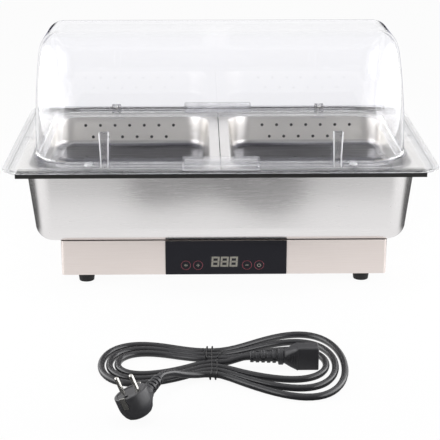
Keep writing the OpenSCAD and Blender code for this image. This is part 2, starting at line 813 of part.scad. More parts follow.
// Blended outline of the hood, from its foot at z = 0
module hood_form(inset, below = 0) {
    corner_r = hood_corner_r - inset;
    edge_r = hood_edge_r - inset;
    w = hood_w / 2 - inset;
    d = hood_d / 2 - inset;
    h = hood_h - hood_lift - inset;
    hull() for (x = [-1, 1], y = [-1, 1]) {
        translate([x * (w - corner_r), y * (d - corner_r), -below])
            cylinder(r = corner_r, h = 1 + below, $fn = shell_fn);
        translate([x * (w - hood_lean - edge_r), y * (d - hood_lean - edge_r), h - edge_r])
            sphere(r = edge_r, $fn = shell_fn);
    }
}

module hood_shell() {
    handle_d = hood_margin_y - 2;
    color(clear) difference() {
        translate([0, 0, hood_z]) union() {
            hood_form(0);
            linear_extrude(hood_wall)
                round_rect(hood_w + 2 * hood_foot, hood_d + 2 * hood_foot, hood_corner_r + hood_foot);
            // Front handle, hollow below
            translate([0, -hood_d / 2 - handle_d / 2, 0]) raised_box(handle_w, handle_d, handle_h, hood_wall);
            // Ears that turn on the hinge pins
            for (x = [-hinge_x, hinge_x]) translate([x - ear_w / 2, hinge_y, hinge_z - hood_z])
                rotate([90, 0, 90]) linear_extrude(ear_w) {
                    circle(ear_r);
                    translate([-hinge_back - hood_wall, -ear_r]) square([hinge_back + hood_wall, 2 * ear_r]);
                }
        }
        translate([0, 0, hood_z]) hood_form(hood_wall, over);
        for (x = [-hinge_x, hinge_x]) translate([x, hinge_y, hinge_z]) rotate([0, 90, 0])
            cylinder(r = pin_d / 2 + running_gap, h = ear_w + 2 * over, center = true);
    }
}

// Tube of radius r along points; its rings lie square to the path
function unit(v) = v / norm(v);
function tangent(p, i) = unit(p[min(i + 1, len(p) - 1)] - p[max(i - 1, 0)]);
function ring(p, i, r, sides, side_axis) = let (
    t = tangent(p, i),
    a = unit(cross(t, side_axis)),
    b = cross(a, t))
    [for (k = [0:sides - 1]) p[i] + r * (cos(360 * k / sides) * a + sin(360 * k / sides) * b)];

module tube(p, r, sides, side_axis = [0, 0, 1]) {
    n = len(p);
    points = [for (i = [0:n - 1]) each ring(p, i, r, sides, side_axis)];
    walls = [for (i = [0:n - 2], k = [0:sides - 1])
        let (a = i * sides + k, b = i * sides + (k + 1) % sides)
            each [[a, b, b + sides], [a, b + sides, a + sides]]];
    caps = [for (k = [1:sides - 2]) each [[0, k + 1, k],
        [(n - 1) * sides, (n - 1) * sides + k, (n - 1) * sides + k + 1]]];
    polyhedron(points, concat(walls, caps), convexity = 10);
}

// Hank: each turn is a right loop and a left loop, and the turns lie flat inside each other.
// It starts on the front run of the waist, towards the right, and ends innermost, towards the right again.
function hank_point(u) = let (
    s = sin(360 * u),
    reach = s < 0 ? hank_left - left_end_step * u : hank_right - right_end_step * u,
    swell = s < 0 ? left_swell - left_swell_step * u : right_swell - right_swell_step * u,
    spread = sqrt(s * s + waist_ease * waist_ease) - waist_ease,
    waist = waist_step * (hank_turns + 0.25 - u),
    x = reach * s)
    hank_at + [x, -cos(360 * u) * (waist + swell * spread),
        cord_d / 2 + tie_lift * exp(-pow(x / lift_reach, 2))];
function hank_path(steps) = concat(
    [hank_point(0) - [cord_d, 0, 0]],
    [for (i = [0:steps]) hank_point(hank_turns * i / steps)],
    [hank_point(hank_turns) + [cord_d, 0, 0]]);
hank_points = hank_path(loops * rings_per_loop);

// Least gap of the hank to itself, measured on closer points of its path
gap_steps = 3 * loops * rings_per_loop;
gap_points = hank_path(gap_steps);
gap_skip = 36;
hank_gap = min([for (i = [0:gap_steps - gap_skip]) for (j = [i + gap_skip:gap_steps])
    norm(gap_points[i] - gap_points[j])]) - cord_d;
function path_length(p, i = 1) = i == len(p) ? 0 : norm(p[i] - p[i - 1]) + path_length(p, i + 1);

// Gap where one stretch of the lead ends at the next
end_gap = 0.05;

// Connector, on its edge inside the right loops, pointing right
connector_at = hank_at + [44, -3, 14];
relief_l = 32;
connector_relief_d = 13;
connector_collar_d = 19;
connector_collar_l = 6;
connector_grip_l = 16;
connector_nose_l = 24;
connector_l = connector_collar_l + connector_grip_l + connector_nose_l;
slot_w = 5.2;
slot_t = 3.2;
connector_w = 27.5;
connector_h = 19;

// Free stretch from the hank's inner end to the connector's relief
connector_route = concat([for (x = [end_gap, over]) hank_points[len(hank_points) - 1] + [x, 0, 0]],
    [for (p = [[18, -2.6, 7.6], [27, -2.8, 10.4], [36, -3, 13.2]]) hank_at + p],
    [for (x = [over, end_gap]) connector_at - [x, 0, 0]]);

// Plug, in front of the left loops, on its side with its lead towards the waist
plug_at = hank_at + [-81, -131, 19];
plug_turn = 65;
plug_rise = 6;
plug_roll = -22;
plug_d = 37;
plug_face = 15;
plug_back = 13.5;
plug_neck = 24;
plug_neck_d = 18;
plug_relief_l = 30;
plug_axis = [cos(plug_turn) * cos(plug_rise), sin(plug_turn) * cos(plug_rise), sin(plug_rise)];
plug_relief_end = plug_at + plug_axis * (plug_neck + plug_relief_l);
plug_pin_d = 4.8;
plug_pin_step = 19;
plug_pin_l = 19;
plug_pin_seat = 8;
earth_hole_x = 10;
earth_hole_d = 5.4;
earth_hole_l = 12;
clip_size = [1, 7, 13];

// Free stretch from the plug's relief down to the hank's outer end
plug_route = concat([plug_relief_end, plug_relief_end + plug_axis * cord_d],
    [for (p = [[-47, -63, 22], [-39, -53, 17], [-30, -45, 12], [-19, -37.5, 8]]) hank_at + p],
    [for (x = [over, end_gap]) hank_points[0] - [x, 0, 0]]);

echo(hank_least_gap_mm = hank_gap);
echo(lead_length_mm = path_length(gap_points) + path_length(connector_route) + path_length(plug_route));

module cord_hank() {
    color(black) tube(hank_points, cord_d / 2, cord_sides);
}

module connector_lead() {
    color(black) tube(connector_route, cord_d / 2, 10);
}

module plug_lead() {
    color(black) tube(plug_route, cord_d / 2, 10);
}

// Tie: wire wound twice round the waist, with two loose ends
tie_gap = 0.5;
tie_side_gap = 1.7;
tie_half_w = waist_step * hank_turns + cord_d / 2 + tie_d / 2 + tie_side_gap;
tie_half_h = cord_d / 2 + tie_d / 2 + tie_gap;
tie_mid = [0, -waist_step / 4, cord_d / 2 + tie_lift];
tie_turns = 2;
tie_pitch = 6;
tie_rings = 32;
function bulge(v) = sign(v) * pow(abs(v), 0.25);
function tie_point(a) = hank_at + tie_mid + [tie_pitch * (a / 360 - tie_turns / 2),
    tie_half_w * bulge(sin(a)), tie_half_h * bulge(cos(a))];
tie_path = concat([for (p = [[-10, -3, 25], [-8, -3, 18], [-7, -3, 14]]) hank_at + p],
    [for (i = [0:tie_rings * tie_turns]) tie_point(360 * i / tie_rings)],
    [for (p = [[7, -3, 14], [9, -3, 17], [13, -3, 21]]) hank_at + p]);

module cord_tie() {
    color(rubber) tube(tie_path, tie_d / 2, 6, [1, 0, 0]);
}

// Ribbed strain relief along +X from x = 0: a sleeve with rings, thicker towards its root
module ribbed_relief(l, tip_d, root_d, rings) {
    pitch = l / rings;
    rotate([0, 90, 0]) {
        cylinder(d1 = tip_d - 2, d2 = root_d - 3, h = l);
        for (i = [0:rings - 1]) translate([0, 0, i * pitch])
            cylinder(d = tip_d + (root_d - tip_d) * i / (rings - 1), h = 0.6 * pitch);
    }
}

module connector_relief() {
    color(black) translate(connector_at)
        ribbed_relief(relief_l, connector_relief_d, connector_relief_d + 2, 5);
}

module connector_body() {
    color(black) translate(connector_at + [relief_l, 0, 0]) difference() {
        union() {
            rotate([0, 90, 0]) cylinder(d = connector_collar_d, h = connector_collar_l);
            hull() {
                translate([connector_collar_l - 1, 0, 0]) rotate([0, 90, 0])
                    cylinder(d = connector_collar_d - 3, h = 1, $fn = shell_fn);
                translate([connector_collar_l + connector_grip_l, 0, 0]) rotate([0, 90, 0])
                    linear_extrude(1) square([connector_w, connector_h + 2], center = true);
            }
            translate([connector_collar_l + connector_grip_l, 0, 0]) rotate([0, 90, 0])
                linear_extrude(connector_nose_l) polygon([[-connector_w / 2, -connector_h / 2],
                    [connector_w / 2, -connector_h / 2], [connector_w / 2, connector_h / 2 - 5],
                    [connector_w / 2 - 5, connector_h / 2], [-connector_w / 2 + 5, connector_h / 2],
                    [-connector_w / 2, connector_h / 2 - 5]]);
        }
        // Slots for the three blades of an inlet
        for (p = [[-blade_step, -blade_rise], [0, blade_rise], [blade_step, -blade_rise]])
            translate([connector_l - socket_deep / 2 + over / 2, p[1], p[0]])
                cube([socket_deep + over, slot_w, slot_t], center = true);
    }
}

module plug_place() {
    translate(plug_at) rotate([plug_roll, -plug_rise, plug_turn]) children();
}

module plug_relief() {
    color(black) plug_place() translate([plug_neck + plug_relief_l, 0, 0]) mirror([1, 0, 0])
        ribbed_relief(plug_relief_l, 12, 15, 5);
}

module plug_body() {
    color(black) plug_place() difference() {
        union() {
            translate([0, 0, -2]) cylinder(d = plug_d, h = plug_face + 2);
            hull() {
                translate([0, 0, -plug_back]) cylinder(d = plug_d - 10, h = 1, $fn = shell_fn);
                translate([0, 0, -3]) cylinder(d = plug_d, h = 2, $fn = shell_fn);
                translate([plug_neck - 1, 0, 0]) rotate([0, 90, 0])
                    cylinder(d = plug_neck_d, h = 1, $fn = shell_fn);
            }
        }
        for (y = [-1, 1]) translate([0, y * plug_pin_step / 2, plug_face - plug_pin_seat])
            cylinder(r = plug_pin_d / 2 + snug_gap, h = plug_pin_seat + over);
        // Hole for the socket's earth pin, and seats of the earth clips
        translate([-earth_hole_x, 0, plug_face - earth_hole_l])
            cylinder(d = earth_hole_d, h = earth_hole_l + over);
        for (x = [-1, 1]) translate([x * plug_d / 2, 0, plug_face - clip_size[2] / 2 + over])
            cube([3 * clip_size[0], clip_size[1] + over, clip_size[2] + over], center = true);
    }
}

module plug_pins() {
    color([0.83, 0.82, 0.78]) plug_place() for (y = [-1, 1])
        translate([0, y * plug_pin_step / 2, plug_face - plug_pin_seat]) {
            cylinder(d = plug_pin_d, h = plug_pin_seat + plug_pin_l - plug_pin_d / 2);
            translate([0, 0, plug_pin_seat + plug_pin_l - plug_pin_d / 2]) sphere(d = plug_pin_d);
        }
}

module plug_earth_clips() {
    color([0.83, 0.82, 0.78]) plug_place() for (x = [-1, 1])
        translate([x * (plug_d / 2 - clip_size[0]), 0, plug_face - clip_size[2] / 2 + over])
            cube(clip_size, center = true);
}

// Sets a piece of the base in its place under the pans
module on_base() {
    translate([base_shift, 0, 0]) children();
}

// Sets a piece of the control panel in its place on the base
module on_panel() {
    on_base() translate([panel_shift, 0, 0]) children();
}

on_base() base_shell();
on_base() bottom_plate();
on_base() bottom_screws();
on_base() foot(0);  // foot_front_left
on_base() foot(1);  // foot_front_right
on_base() foot(2);  // foot_back_left
on_base() foot(3);  // foot_back_right
on_base() foot_screws();
on_panel() control_panel();
on_panel() display_module();
on_panel() control_board();
on_panel() board_screws();
on_panel() board_components();
on_panel() touch_springs();
on_base() power_inlet();
on_base() inlet_blades();
on_base() inlet_screws();
on_base() heating_plate();
on_base() heating_element();
on_base() element_clamps();
on_base() clamp_screws();
on_base() thermal_sensor();
on_base() thermal_cutout();
on_base() insulation_pad();
water_pan();
food_pan_left();
food_pan_right();
cover_frame();
rim_seal();
hinge_pins();
hood_rests();
hood_shell();
connector_body();
connector_relief();
connector_lead();
cord_hank();
cord_tie();
plug_lead();
plug_relief();
plug_body();
plug_pins();
plug_earth_clips();
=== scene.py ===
import math

import bmesh
import bpy
from mathutils import Matrix, Vector


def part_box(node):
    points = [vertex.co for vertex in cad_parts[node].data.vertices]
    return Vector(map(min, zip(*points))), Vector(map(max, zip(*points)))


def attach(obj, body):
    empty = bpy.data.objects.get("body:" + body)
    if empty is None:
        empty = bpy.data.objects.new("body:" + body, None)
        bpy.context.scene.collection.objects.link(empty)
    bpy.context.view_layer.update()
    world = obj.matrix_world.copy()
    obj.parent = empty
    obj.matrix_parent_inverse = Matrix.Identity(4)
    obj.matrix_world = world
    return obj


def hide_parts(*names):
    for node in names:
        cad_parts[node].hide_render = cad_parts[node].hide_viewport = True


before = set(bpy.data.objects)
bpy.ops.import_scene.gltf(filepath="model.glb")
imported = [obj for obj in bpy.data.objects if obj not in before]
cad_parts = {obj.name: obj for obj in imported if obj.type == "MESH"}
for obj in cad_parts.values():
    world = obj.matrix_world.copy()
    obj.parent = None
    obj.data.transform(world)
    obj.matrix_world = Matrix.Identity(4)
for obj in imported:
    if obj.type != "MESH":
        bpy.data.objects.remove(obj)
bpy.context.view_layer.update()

# Feet
# Four black rubber feet carry the base; each is held by a screw from below.
# Moulded rubber: dull, nearly black, with a fine mould grain.
mm = 0.001


def linear(code):
    # A colour code as the linear values that shaders use
    parts = [int(code[i:i + 2], 16) / 255 for i in (1, 3, 5)]
    return [c / 12.92 if c <= 0.04045 else ((c + 0.055) / 1.055) ** 2.4 for c in parts] + [1.0]


def fill(tree, node, inputs):
    # Links or sets a node's inputs
    for key, value in inputs.items():
        if isinstance(value, bpy.types.NodeSocket):
            tree.links.new(value, node.inputs[key])
        else:
            node.inputs[key].default_value = value


def add(tree, kind, inputs=None, **settings):
    node = tree.nodes.new(kind)
    for key, value in settings.items():
        setattr(node, key, value)
    fill(tree, node, inputs or {})
    return node


def noise(tree, vector, scale, detail):
    made = add(tree, "ShaderNodeTexNoise", {"Vector": vector, "Scale": scale, "Detail": detail})
    return made.outputs["Fac"]


def two_tone(tree, value, dark, light, low=0.0, high=1.0):
    ramp = add(tree, "ShaderNodeValToRGB", {"Fac": value})
    for element, code, position in zip(ramp.color_ramp.elements, (dark, light), (low, high)):
        element.color = linear(code)
        element.position = position
    return ramp.outputs["Color"]


def bumped(tree, height, depth_mm, strength):
    inputs = {"Height": height, "Distance": depth_mm * mm, "Strength": strength}
    return add(tree, "ShaderNodeBump", inputs).outputs["Normal"]


def new_material(name):
    material = bpy.data.materials.new(name)
    material.use_nodes = True
    tree = material.node_tree
    tree.nodes.clear()
    shader = add(tree, "ShaderNodeBsdfPrincipled")
    add(tree, "ShaderNodeOutputMaterial", {"Surface": shader.outputs[0]})
    coords = add(tree, "ShaderNodeTexCoord").outputs["Object"]
    return material, tree, shader, coords


def moulded(name, dark, light, roughness, grain_mm, depth_mm):
    # Moulded rubber or plastic: a mottled tone and a fine grain from the tool's surface
    material, tree, shader, coords = new_material(name)
    grain = noise(tree, coords, 1 / (grain_mm * mm), 2.0)
    fill(tree, shader, {"Base Color": two_tone(tree, noise(tree, coords, 40.0, 3.0), dark, light, 0.3, 0.7),
                        "Normal": bumped(tree, grain, depth_mm, 0.6), "Roughness": roughness, "IOR": 1.5})
    return material


def dress(node, material):
    mesh = bpy.data.objects[node].data
    mesh.materials.clear()
    mesh.materials.append(material)


foot_rubber = moulded("foot_rubber", "#0d0d0e", "#131314", 0.75, 0.8, 0.05)
for foot in ("foot_front_left", "foot_front_right", "foot_back_left", "foot_back_right"):
    dress(foot, foot_rubber)

# Base housing
# A folded box of thin stainless sheet, open for heating plate and panel, with a plate screwed under it.
# Warm satin steel: soft reflections drawn out along the brushing, which runs left to right.


def span(tree, value, from_low, from_high, to_low=0.0, to_high=1.0, smooth=False):
    # Carries a value over from one range to another
    inputs = {"Value": value, "From Min": from_low, "From Max": from_high,
              "To Min": to_low, "To Max": to_high}
    kind = "SMOOTHSTEP" if smooth else "LINEAR"
    return add(tree, "ShaderNodeMapRange", inputs, interpolation_type=kind).outputs["Result"]


def brushed(name, dark, light, rough_low, rough_high, stretch, line_mm):
    # Brushed stainless sheet. The real lines are about 0.1 mm; they are drawn wider so that they show.
    material, tree, shader, coords = new_material(name)
    drawn_out = add(tree, "ShaderNodeMapping", {"Vector": coords, "Scale": stretch}).outputs[0]
    lines = noise(tree, drawn_out, 1 / (line_mm * mm), 4.0)
    fill(tree, shader, {"Base Color": two_tone(tree, lines, dark, light, 0.25, 0.75),
                        "Roughness": span(tree, lines, 0.3, 0.7, rough_low, rough_high),
                        "Normal": bumped(tree, lines, 0.02, 0.35), "Metallic": 1.0})
    return material


along_x = (0.02, 1.0, 1.0)
warm_steel = brushed("warm_satin_steel", "#e9dfda", "#eee5e1", 0.4, 0.46, along_x, 0.7)
for node in ("base_shell", "bottom_plate"):
    dress(node, warm_steel)

# Screws and bright fittings
# Zinc-plated steel screws hold the plates, the feet and the inlet; pins and blades are nickel-plated.
# Plated steel: bright, a little uneven.
even = (1.0, 1.0, 1.0)
plated_steel = brushed("plated_steel", "#b9b8b4", "#cfcdc8", 0.2, 0.32, even, 3.0)
for node in ("bottom_screws", "foot_screws", "board_screws", "inlet_screws", "clamp_screws", "touch_springs",
             "element_clamps", "inlet_blades", "hinge_pins"):
    dress(node, plated_steel)

# Heater and control works inside the base, and the inlet in its back wall
# A cast aluminium plate with a tubular element clamped below it, a sensor, a cut-out and a fibre pad.
# The board with relay, transformer and capacitor stands behind the panel.
dress("heating_plate", brushed("cast_aluminium", "#b4b5b8", "#c4c5c8", 0.42, 0.55, even, 2.5))
dress("thermal_sensor", brushed("sensor_brass", "#b08d4f", "#c6a468", 0.3, 0.42, even, 2.0))
works = (("heating_element", "oxidised_element_sheath", "#3a3835", "#4c4946", 0.5, 1.0, 0.05),
         ("thermal_cutout", "phenolic_housing", "#2a2523", "#332d2a", 0.45, 0.7, 0.04),
         ("insulation_pad", "glass_fibre_felt", "#dcd8cc", "#ece9e0", 0.95, 1.2, 0.4),
         ("control_board", "solder_resist_board", "#14512c", "#1b6338", 0.4, 1.0, 0.03),
         ("board_components", "relay_and_transformer_cases", "#23406f", "#2d4d80", 0.38, 0.9, 0.03),
         ("power_inlet", "inlet_plastic", "#1c1c1d", "#252526", 0.42, 0.6, 0.03))
for node, *look in works:
    dress(node, moulded(*look))

# Control panel
# A black gloss panel over the whole height of the base's front, with a window for a three-digit display.
# Gloss plastic film: deep black-grey with clear, slightly blue reflections and a faint waviness.
panel_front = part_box("control_panel")[0][1]


def gloss_film(name, dark, light, roughness):
    material, tree, shader, coords = new_material(name)
    wave = noise(tree, coords, 60.0, 1.0)
    fill(tree, shader, {"Base Color": two_tone(tree, noise(tree, coords, 14.0, 2.0), dark, light),
                        "Normal": bumped(tree, wave, 0.02, 0.3), "Roughness": roughness, "IOR": 1.38,
                        "Specular Tint": linear("#e4e4f2")})
    return material


panel_film = gloss_film("black_gloss_panel_film", "#09090d", "#0d0d12", 0.2)
dress("control_panel", panel_film)
dress("display_module", panel_film)

# Display window and digits
# A smoked window on the panel, and on it three seven-segment digits with all segments showing.
# The segments are thin printed bars, dull warm grey.
panel_x = 7.0
base_bottom = 11.5
display_x, display_z = panel_x - 2, base_bottom + 18.5
film_step = 0.12 * mm


def mesh_object(name, mesh, material):
    piece = bpy.data.objects.new(name, mesh)
    bpy.context.scene.collection.objects.link(piece)
    mesh.materials.append(material)
    return piece


def slab(build, rows):
    # Closes two like rows of points into a plate
    count = len(rows[0])
    build.faces.new(rows[0])
    build.faces.new(rows[1][::-1])
    for i in range(count):
        build.faces.new((rows[0][i], rows[1][i], rows[1][(i + 1) % count], rows[0][(i + 1) % count]))


def printed(build, points, front, height):
    # A film as thick as print, its outline given in millimetres and its height above the floor
    slab(build, [[build.verts.new((x * mm, y, (height + z) * mm)) for x, z in points]
                 for y in (front - film_step, front)])


def rectangle(x, z, half_x, half_z):
    return [(x + sx * half_x, z + sz * half_z) for sx, sz in ((-1, -1), (1, -1), (1, 1), (-1, 1))]


def finish_mesh(name, build, material, smooth_angle=None):
    bmesh.ops.remove_doubles(build, verts=build.verts, dist=1e-7)
    bmesh.ops.recalc_face_normals(build, faces=build.faces)
    mesh = bpy.data.meshes.new(name)
    build.to_mesh(mesh)
    build.free()
    if smooth_angle is not None:
        mesh.shade_smooth()
        mesh.set_sharp_from_angle(angle=math.radians(smooth_angle))
    return mesh_object(name, mesh, material)


smoked_window = gloss_film("smoked_display_window", "#1e1e20", "#232325", 0.15)
window_w, window_h = 39.0, 16.4
build = bmesh.new()
printed(build, rectangle(display_x, 0, window_w / 2, window_h / 2), panel_front, display_z)
window = finish_mesh("display_window", build, smoked_window)
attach(window, "base")

segment_grey = moulded("display_segment_grey", "#8f8c82", "#9b988e", 0.5, 0.5, 0.01)
digit_w, digit_h, digit_pitch, bar, gap, slant = 8.2, 12.0, 12.2, 2.4, 0.15, 0.06
upright = (digit_h + bar) / 4 - gap
bars = [(0, up * digit_h / 2, (digit_w - bar) / 2 - gap, bar / 2) for up in (-1, 0, 1)]
bars += [(across * digit_w / 2, up * (upright + gap), bar / 2, upright)
         for across in (-1, 1) for up in (-1, 1)]
build = bmesh.new()
for column in (-1, 0, 1):
    middle = display_x + column * digit_pitch
    for sizes in bars:
        points = [(middle + x + slant * z, z) for x, z in rectangle(*sizes)]
        printed(build, points, panel_front - film_step, display_z)
digits = finish_mesh("display_digits", build, segment_grey)
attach(digits, "base")

# Touch keys
# Four printed keys, two on each side of the display: a dark red ring round a grey sign on the panel's film.
# They feel a finger through the panel, so nothing moves.
key_places = [panel_x + x for x in (-53.7, -37.5, 28.0, 44.2)]
key_height = base_bottom + 13.5


def new_group(name, sockets):
    # A geometry node tree with its inputs, and the sockets that these inputs come from
    tree = bpy.data.node_groups.new(name, "GeometryNodeTree")
    for label, kind in [("Geometry", "Geometry")] + sockets + [("Material", "Material")]:
        tree.interface.new_socket(label, in_out="INPUT", socket_type="NodeSocket" + kind)
    tree.interface.new_socket("Geometry", in_out="OUTPUT", socket_type="NodeSocketGeometry")
    return tree, add(tree, "NodeGroupInput").outputs


def copied(tree, places, shape):
    # Sets a copy of a shape on every point
    copies = add(tree, "GeometryNodeInstanceOnPoints", {"Points": places, "Instance": shape})
    real = add(tree, "GeometryNodeRealizeInstances", {"Geometry": copies.outputs["Instances"]})
    return real.outputs["Geometry"]


def end_group(tree, given, geometry):
    inputs = {"Geometry": geometry, "Material": given["Material"]}
    painted = add(tree, "GeometryNodeSetMaterial", inputs)
    add(tree, "NodeGroupOutput", {"Geometry": painted.outputs["Geometry"]})
    return tree


def key_tree():
    # Rings set on the four key places
    tree, given = new_group("key_rings", [("Ring radius", "Float"), ("Line width", "Float")])
    circle = "GeometryNodeCurvePrimitiveCircle"
    path = add(tree, circle, {"Resolution": 48, "Radius": given["Ring radius"]}).outputs["Curve"]
    line = add(tree, circle, {"Resolution": 6, "Radius": given["Line width"]}).outputs["Curve"]
    ring = add(tree, "GeometryNodeCurveToMesh", {"Curve": path, "Profile Curve": line}).outputs["Mesh"]
    upright = add(tree, "GeometryNodeTransform", {"Geometry": ring, "Rotation": (math.pi / 2, 0, 0)})
    return end_group(tree, given, copied(tree, given["Geometry"], upright.outputs["Geometry"]))


def grown(name, start, tree, values, material):
    # Runs a node tree on a start mesh, with its named inputs set, and keeps the plain mesh that comes out
    source = bpy.data.objects.new(name + "_start", start)
    bpy.context.scene.collection.objects.link(source)
    modifier = source.modifiers.new("made", "NODES")
    modifier.node_group = tree
    for item in tree.interface.items_tree:
        if item.in_out == "INPUT" and item.name in values:
            modifier[item.identifier] = values[item.name]
    graph = bpy.context.evaluated_depsgraph_get()
    mesh = bpy.data.meshes.new_from_object(source.evaluated_get(graph))
    source.modifiers.remove(modifier)
    bpy.data.objects.remove(source)
    mesh.name = name
    mesh.materials.clear()
    return mesh_object(name, mesh, material)


key_red = moulded("dark_red_key_ink", "#6a2c36", "#743240", 0.45, 0.5, 0.01)
ring_r, ring_line = 6.2 * mm, 0.45 * mm
spots = bpy.data.meshes.new("key_spots")
spots.from_pydata([(x * mm, panel_front, key_height * mm) for x in key_places], [], [])
rings = grown("key_rings", spots, key_tree(),
              {"Ring radius": ring_r, "Line width": ring_line, "Material": key_red}, key_red)
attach(rings, "base")


def bar_sign(build, x, z, w, h):
    printed(build, rectangle(x, z, w / 2, h / 2), panel_front, key_height)


def arc_sign(build, x, z, radius, width, start, end):
    steps = 20
    angles = [math.radians(start + (end - start) * i / steps) for i in range(steps + 1)]
    inner, outer = [[(x + r * math.cos(a), z + r * math.sin(a)) for a in angles]
                    for r in (radius - width / 2, radius + width / 2)]
    for i in range(steps):
        printed(build, [inner[i], outer[i], outer[i + 1], inner[i + 1]], panel_front, key_height)


lock_key, more_key, less_key, power_key = key_places
sign_w, sign_line = 4.2, 0.9
build = bmesh.new()
for offset in (-1.6, 0, 1.6):
    bar_sign(build, lock_key + offset, 0, sign_line, 3.4 - abs(offset))
bar_sign(build, more_key, 0, sign_w, sign_line)
bar_sign(build, more_key, 0, sign_line, sign_w)
bar_sign(build, less_key, 0, sign_w, sign_line)
arc_sign(build, power_key, -0.2, 2.2, 0.8, 125, 415)
bar_sign(build, power_key, 1.6, 0.8, 2.4)
signs = finish_mesh("key_signs", build, segment_grey)
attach(signs, "base")

# Water pan
# A deep-drawn stainless pan with a flat rim, which stands on the base and holds the hot water.
# Drawn steel, satin: brushing round the walls, soft vertical streaks of light at its rounded corners; its
# inside is painted dark as shade.
sheet = 0.8
rim_top = 161.8
tray_w, tray_d = 530, 325


def outline(half_w, half_d, radius, z, middle=0.0, front_r=None, pull=0.0, steps=10):
    # Points round a rectangle with round corners, in millimetres. Its front corners can have a radius
    # of their own, and its front edge can be pulled back.
    points = []
    for corner, (sx, sy) in enumerate(((1, 1), (-1, 1), (-1, -1), (1, -1))):
        r = radius if front_r is None or sy > 0 else front_r
        r = max(min(r, half_w - 0.01, half_d - 0.01), 0.01)
        for i in range(steps + 1):
            a = math.radians(90 * (corner + i / steps))
            x = middle + sx * (half_w - r) + r * math.cos(a)
            y = sy * (half_d - r) + r * math.sin(a) + (pull if sy < 0 else 0)
            points.append(Vector((x, y, z)) * mm)
    return points


def loft(build, rings, closed=False):
    # Skin over a list of outlines; the ends are closed with a face, or joined to each other
    rows = [[build.verts.new(p) for p in ring] for ring in rings]
    pairs = list(zip(rows[:-1], rows[1:]))
    if closed:
        pairs.append((rows[-1], rows[0]))
    count = len(rows[0])
    for low, high in pairs:
        for i in range(count):
            build.faces.new((low[i], low[(i + 1) % count], high[(i + 1) % count], high[i]))
    if not closed:
        build.faces.new(rows[0][::-1])
        build.faces.new(rows[-1])


def pan_rings(rim_w, rim, depth, lean, corner_r, low_r, floor_r, top, middle):
    # Outlines from the middle of the inner floor, up the wall, round the rim and down the outside again
    rim_r, fold_r, least_r = 14, 3.0, 3

    def side(thick):
        w, d = rim_w / 2 - rim - thick, tray_d / 2 - rim - thick
        corner, low, floor = corner_r - thick, low_r - thick, floor_r - thick
        bottom = -depth + thick
        rings = [(w - lean - floor - 30, d - lean - floor - 30, 20, bottom),
                 (w - lean - floor - 1, d - lean - floor - 1, max(low - floor - 1, least_r), bottom)]
        for i in range(9):
            a = math.radians(90 * i / 8)
            away = floor * (1 - math.sin(a))
            rings.append((w - lean - away, d - lean - away, max(low - away, least_r),
                          bottom + floor * (1 - math.cos(a))))
        rise = depth - thick - floor
        for share in (0.2, 0.4, 0.6, 0.8):
            rest = 1 - share
            rings.append((w - lean * rest, d - lean * rest, low + (corner - low) * share, -rise * rest))
        return rings, w, d, corner

    def fold(w, d, corner, radius, angles):
        rings = []
        for angle in angles:
            a = math.radians(angle)
            out = radius * (1 - math.cos(a))
            rings.append((w + out, d + out, corner + out, -fold_r + radius * math.sin(a)))
        return rings

    steps = [90 * i / 5 for i in range(6)]
    inner, *inner_wall = side(sheet)
    outer, *outer_wall = side(0)
    rings = inner + fold(*inner_wall, fold_r, steps)
    for inset, z in ((0.4, 0), (0, -0.3), (0, -sheet + 0.2), (0.3, -sheet)):
        rings.append((rim_w / 2 - inset, tray_d / 2 - inset, rim_r - inset, z))
    rings += fold(*outer_wall, fold_r - sheet, steps[::-1]) + outer[::-1]
    return [outline(hw, hd, r, top + z, middle) for hw, hd, r, z in rings]


pan_steel = brushed("drawn_pan_steel", "#e4e2e2", "#e9e7e7", 0.22, 0.28, along_x, 0.7)
build = bmesh.new()
loft(build, pan_rings(tray_w, rim=10, depth=102, lean=9, corner_r=34, low_r=26, floor_r=22,
                      top=rim_top, middle=0))
water = finish_mesh("water_pan_shell", build, pan_steel, 50)
# Painted shade: the inside walls and floor get a dark steel of their own, so that the gap behind the food
# pans' holes looks dark
painted_shade_steel = moulded("water_stained_pan_steel", "#4a4a4d", "#5c5c60", 0.45, 12.0, 0.02)
water.data.materials.append(painted_shade_steel)
for face in water.data.polygons:
    inward = Vector((face.center.x, face.center.y, 0)).normalized().dot(face.normal) < -0.3
    floor_inside = face.normal.z > 0.3 and face.center.z < (rim_top - 60) * mm
    if (inward or floor_inside) and face.center.z < (rim_top - 4) * mm:
        face.material_index = 1
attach(water, "water")
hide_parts("water_pan")

# Food pans
# Two half-size stainless pans hang side by side in the water pan; steam comes through the holes in their
# walls and floors, which a node tree cuts at given points.
# Drawn steel with a brighter, finer satin than the water pan; its floor is painted a dark streaky grey as
# painted shade.
food_rim, food_depth, food_w = 162.9, 46, 264.5
hole_r, hole_pitch, first_row, row_pitch = 2.3, 22, 15.5, 17.5
floor_hole_pitch, floor_hole_y = 40, 75


def perforation_tree():
    # Cuts a hole through the mesh at every point of a second mesh
    tree, given = new_group("perforations", [("Hole places", "Object"), ("Hole radius", "Float"),
                                             ("Hole depth", "Float"), ("Hole turn", "Float")])
    places = add(tree, "GeometryNodeObjectInfo", {"Object": given["Hole places"]}).outputs["Geometry"]
    drill = add(tree, "GeometryNodeMeshCylinder", {"Vertices": 20, "Radius": given["Hole radius"],
                                                   "Depth": given["Hole depth"]}).outputs["Mesh"]
    turn = add(tree, "ShaderNodeCombineXYZ", {"X": given["Hole turn"]}).outputs["Vector"]
    aimed = add(tree, "GeometryNodeTransform", {"Geometry": drill, "Rotation": turn}).outputs["Geometry"]
    cut = add(tree, "GeometryNodeMeshBoolean", {0: given["Geometry"], 1: copied(tree, places, aimed)},
              operation="DIFFERENCE", solver="EXACT")
    real = add(tree, "GeometryNodeRealizeInstances", {"Geometry": cut.outputs["Mesh"]})
    return end_group(tree, given, real.outputs["Geometry"])


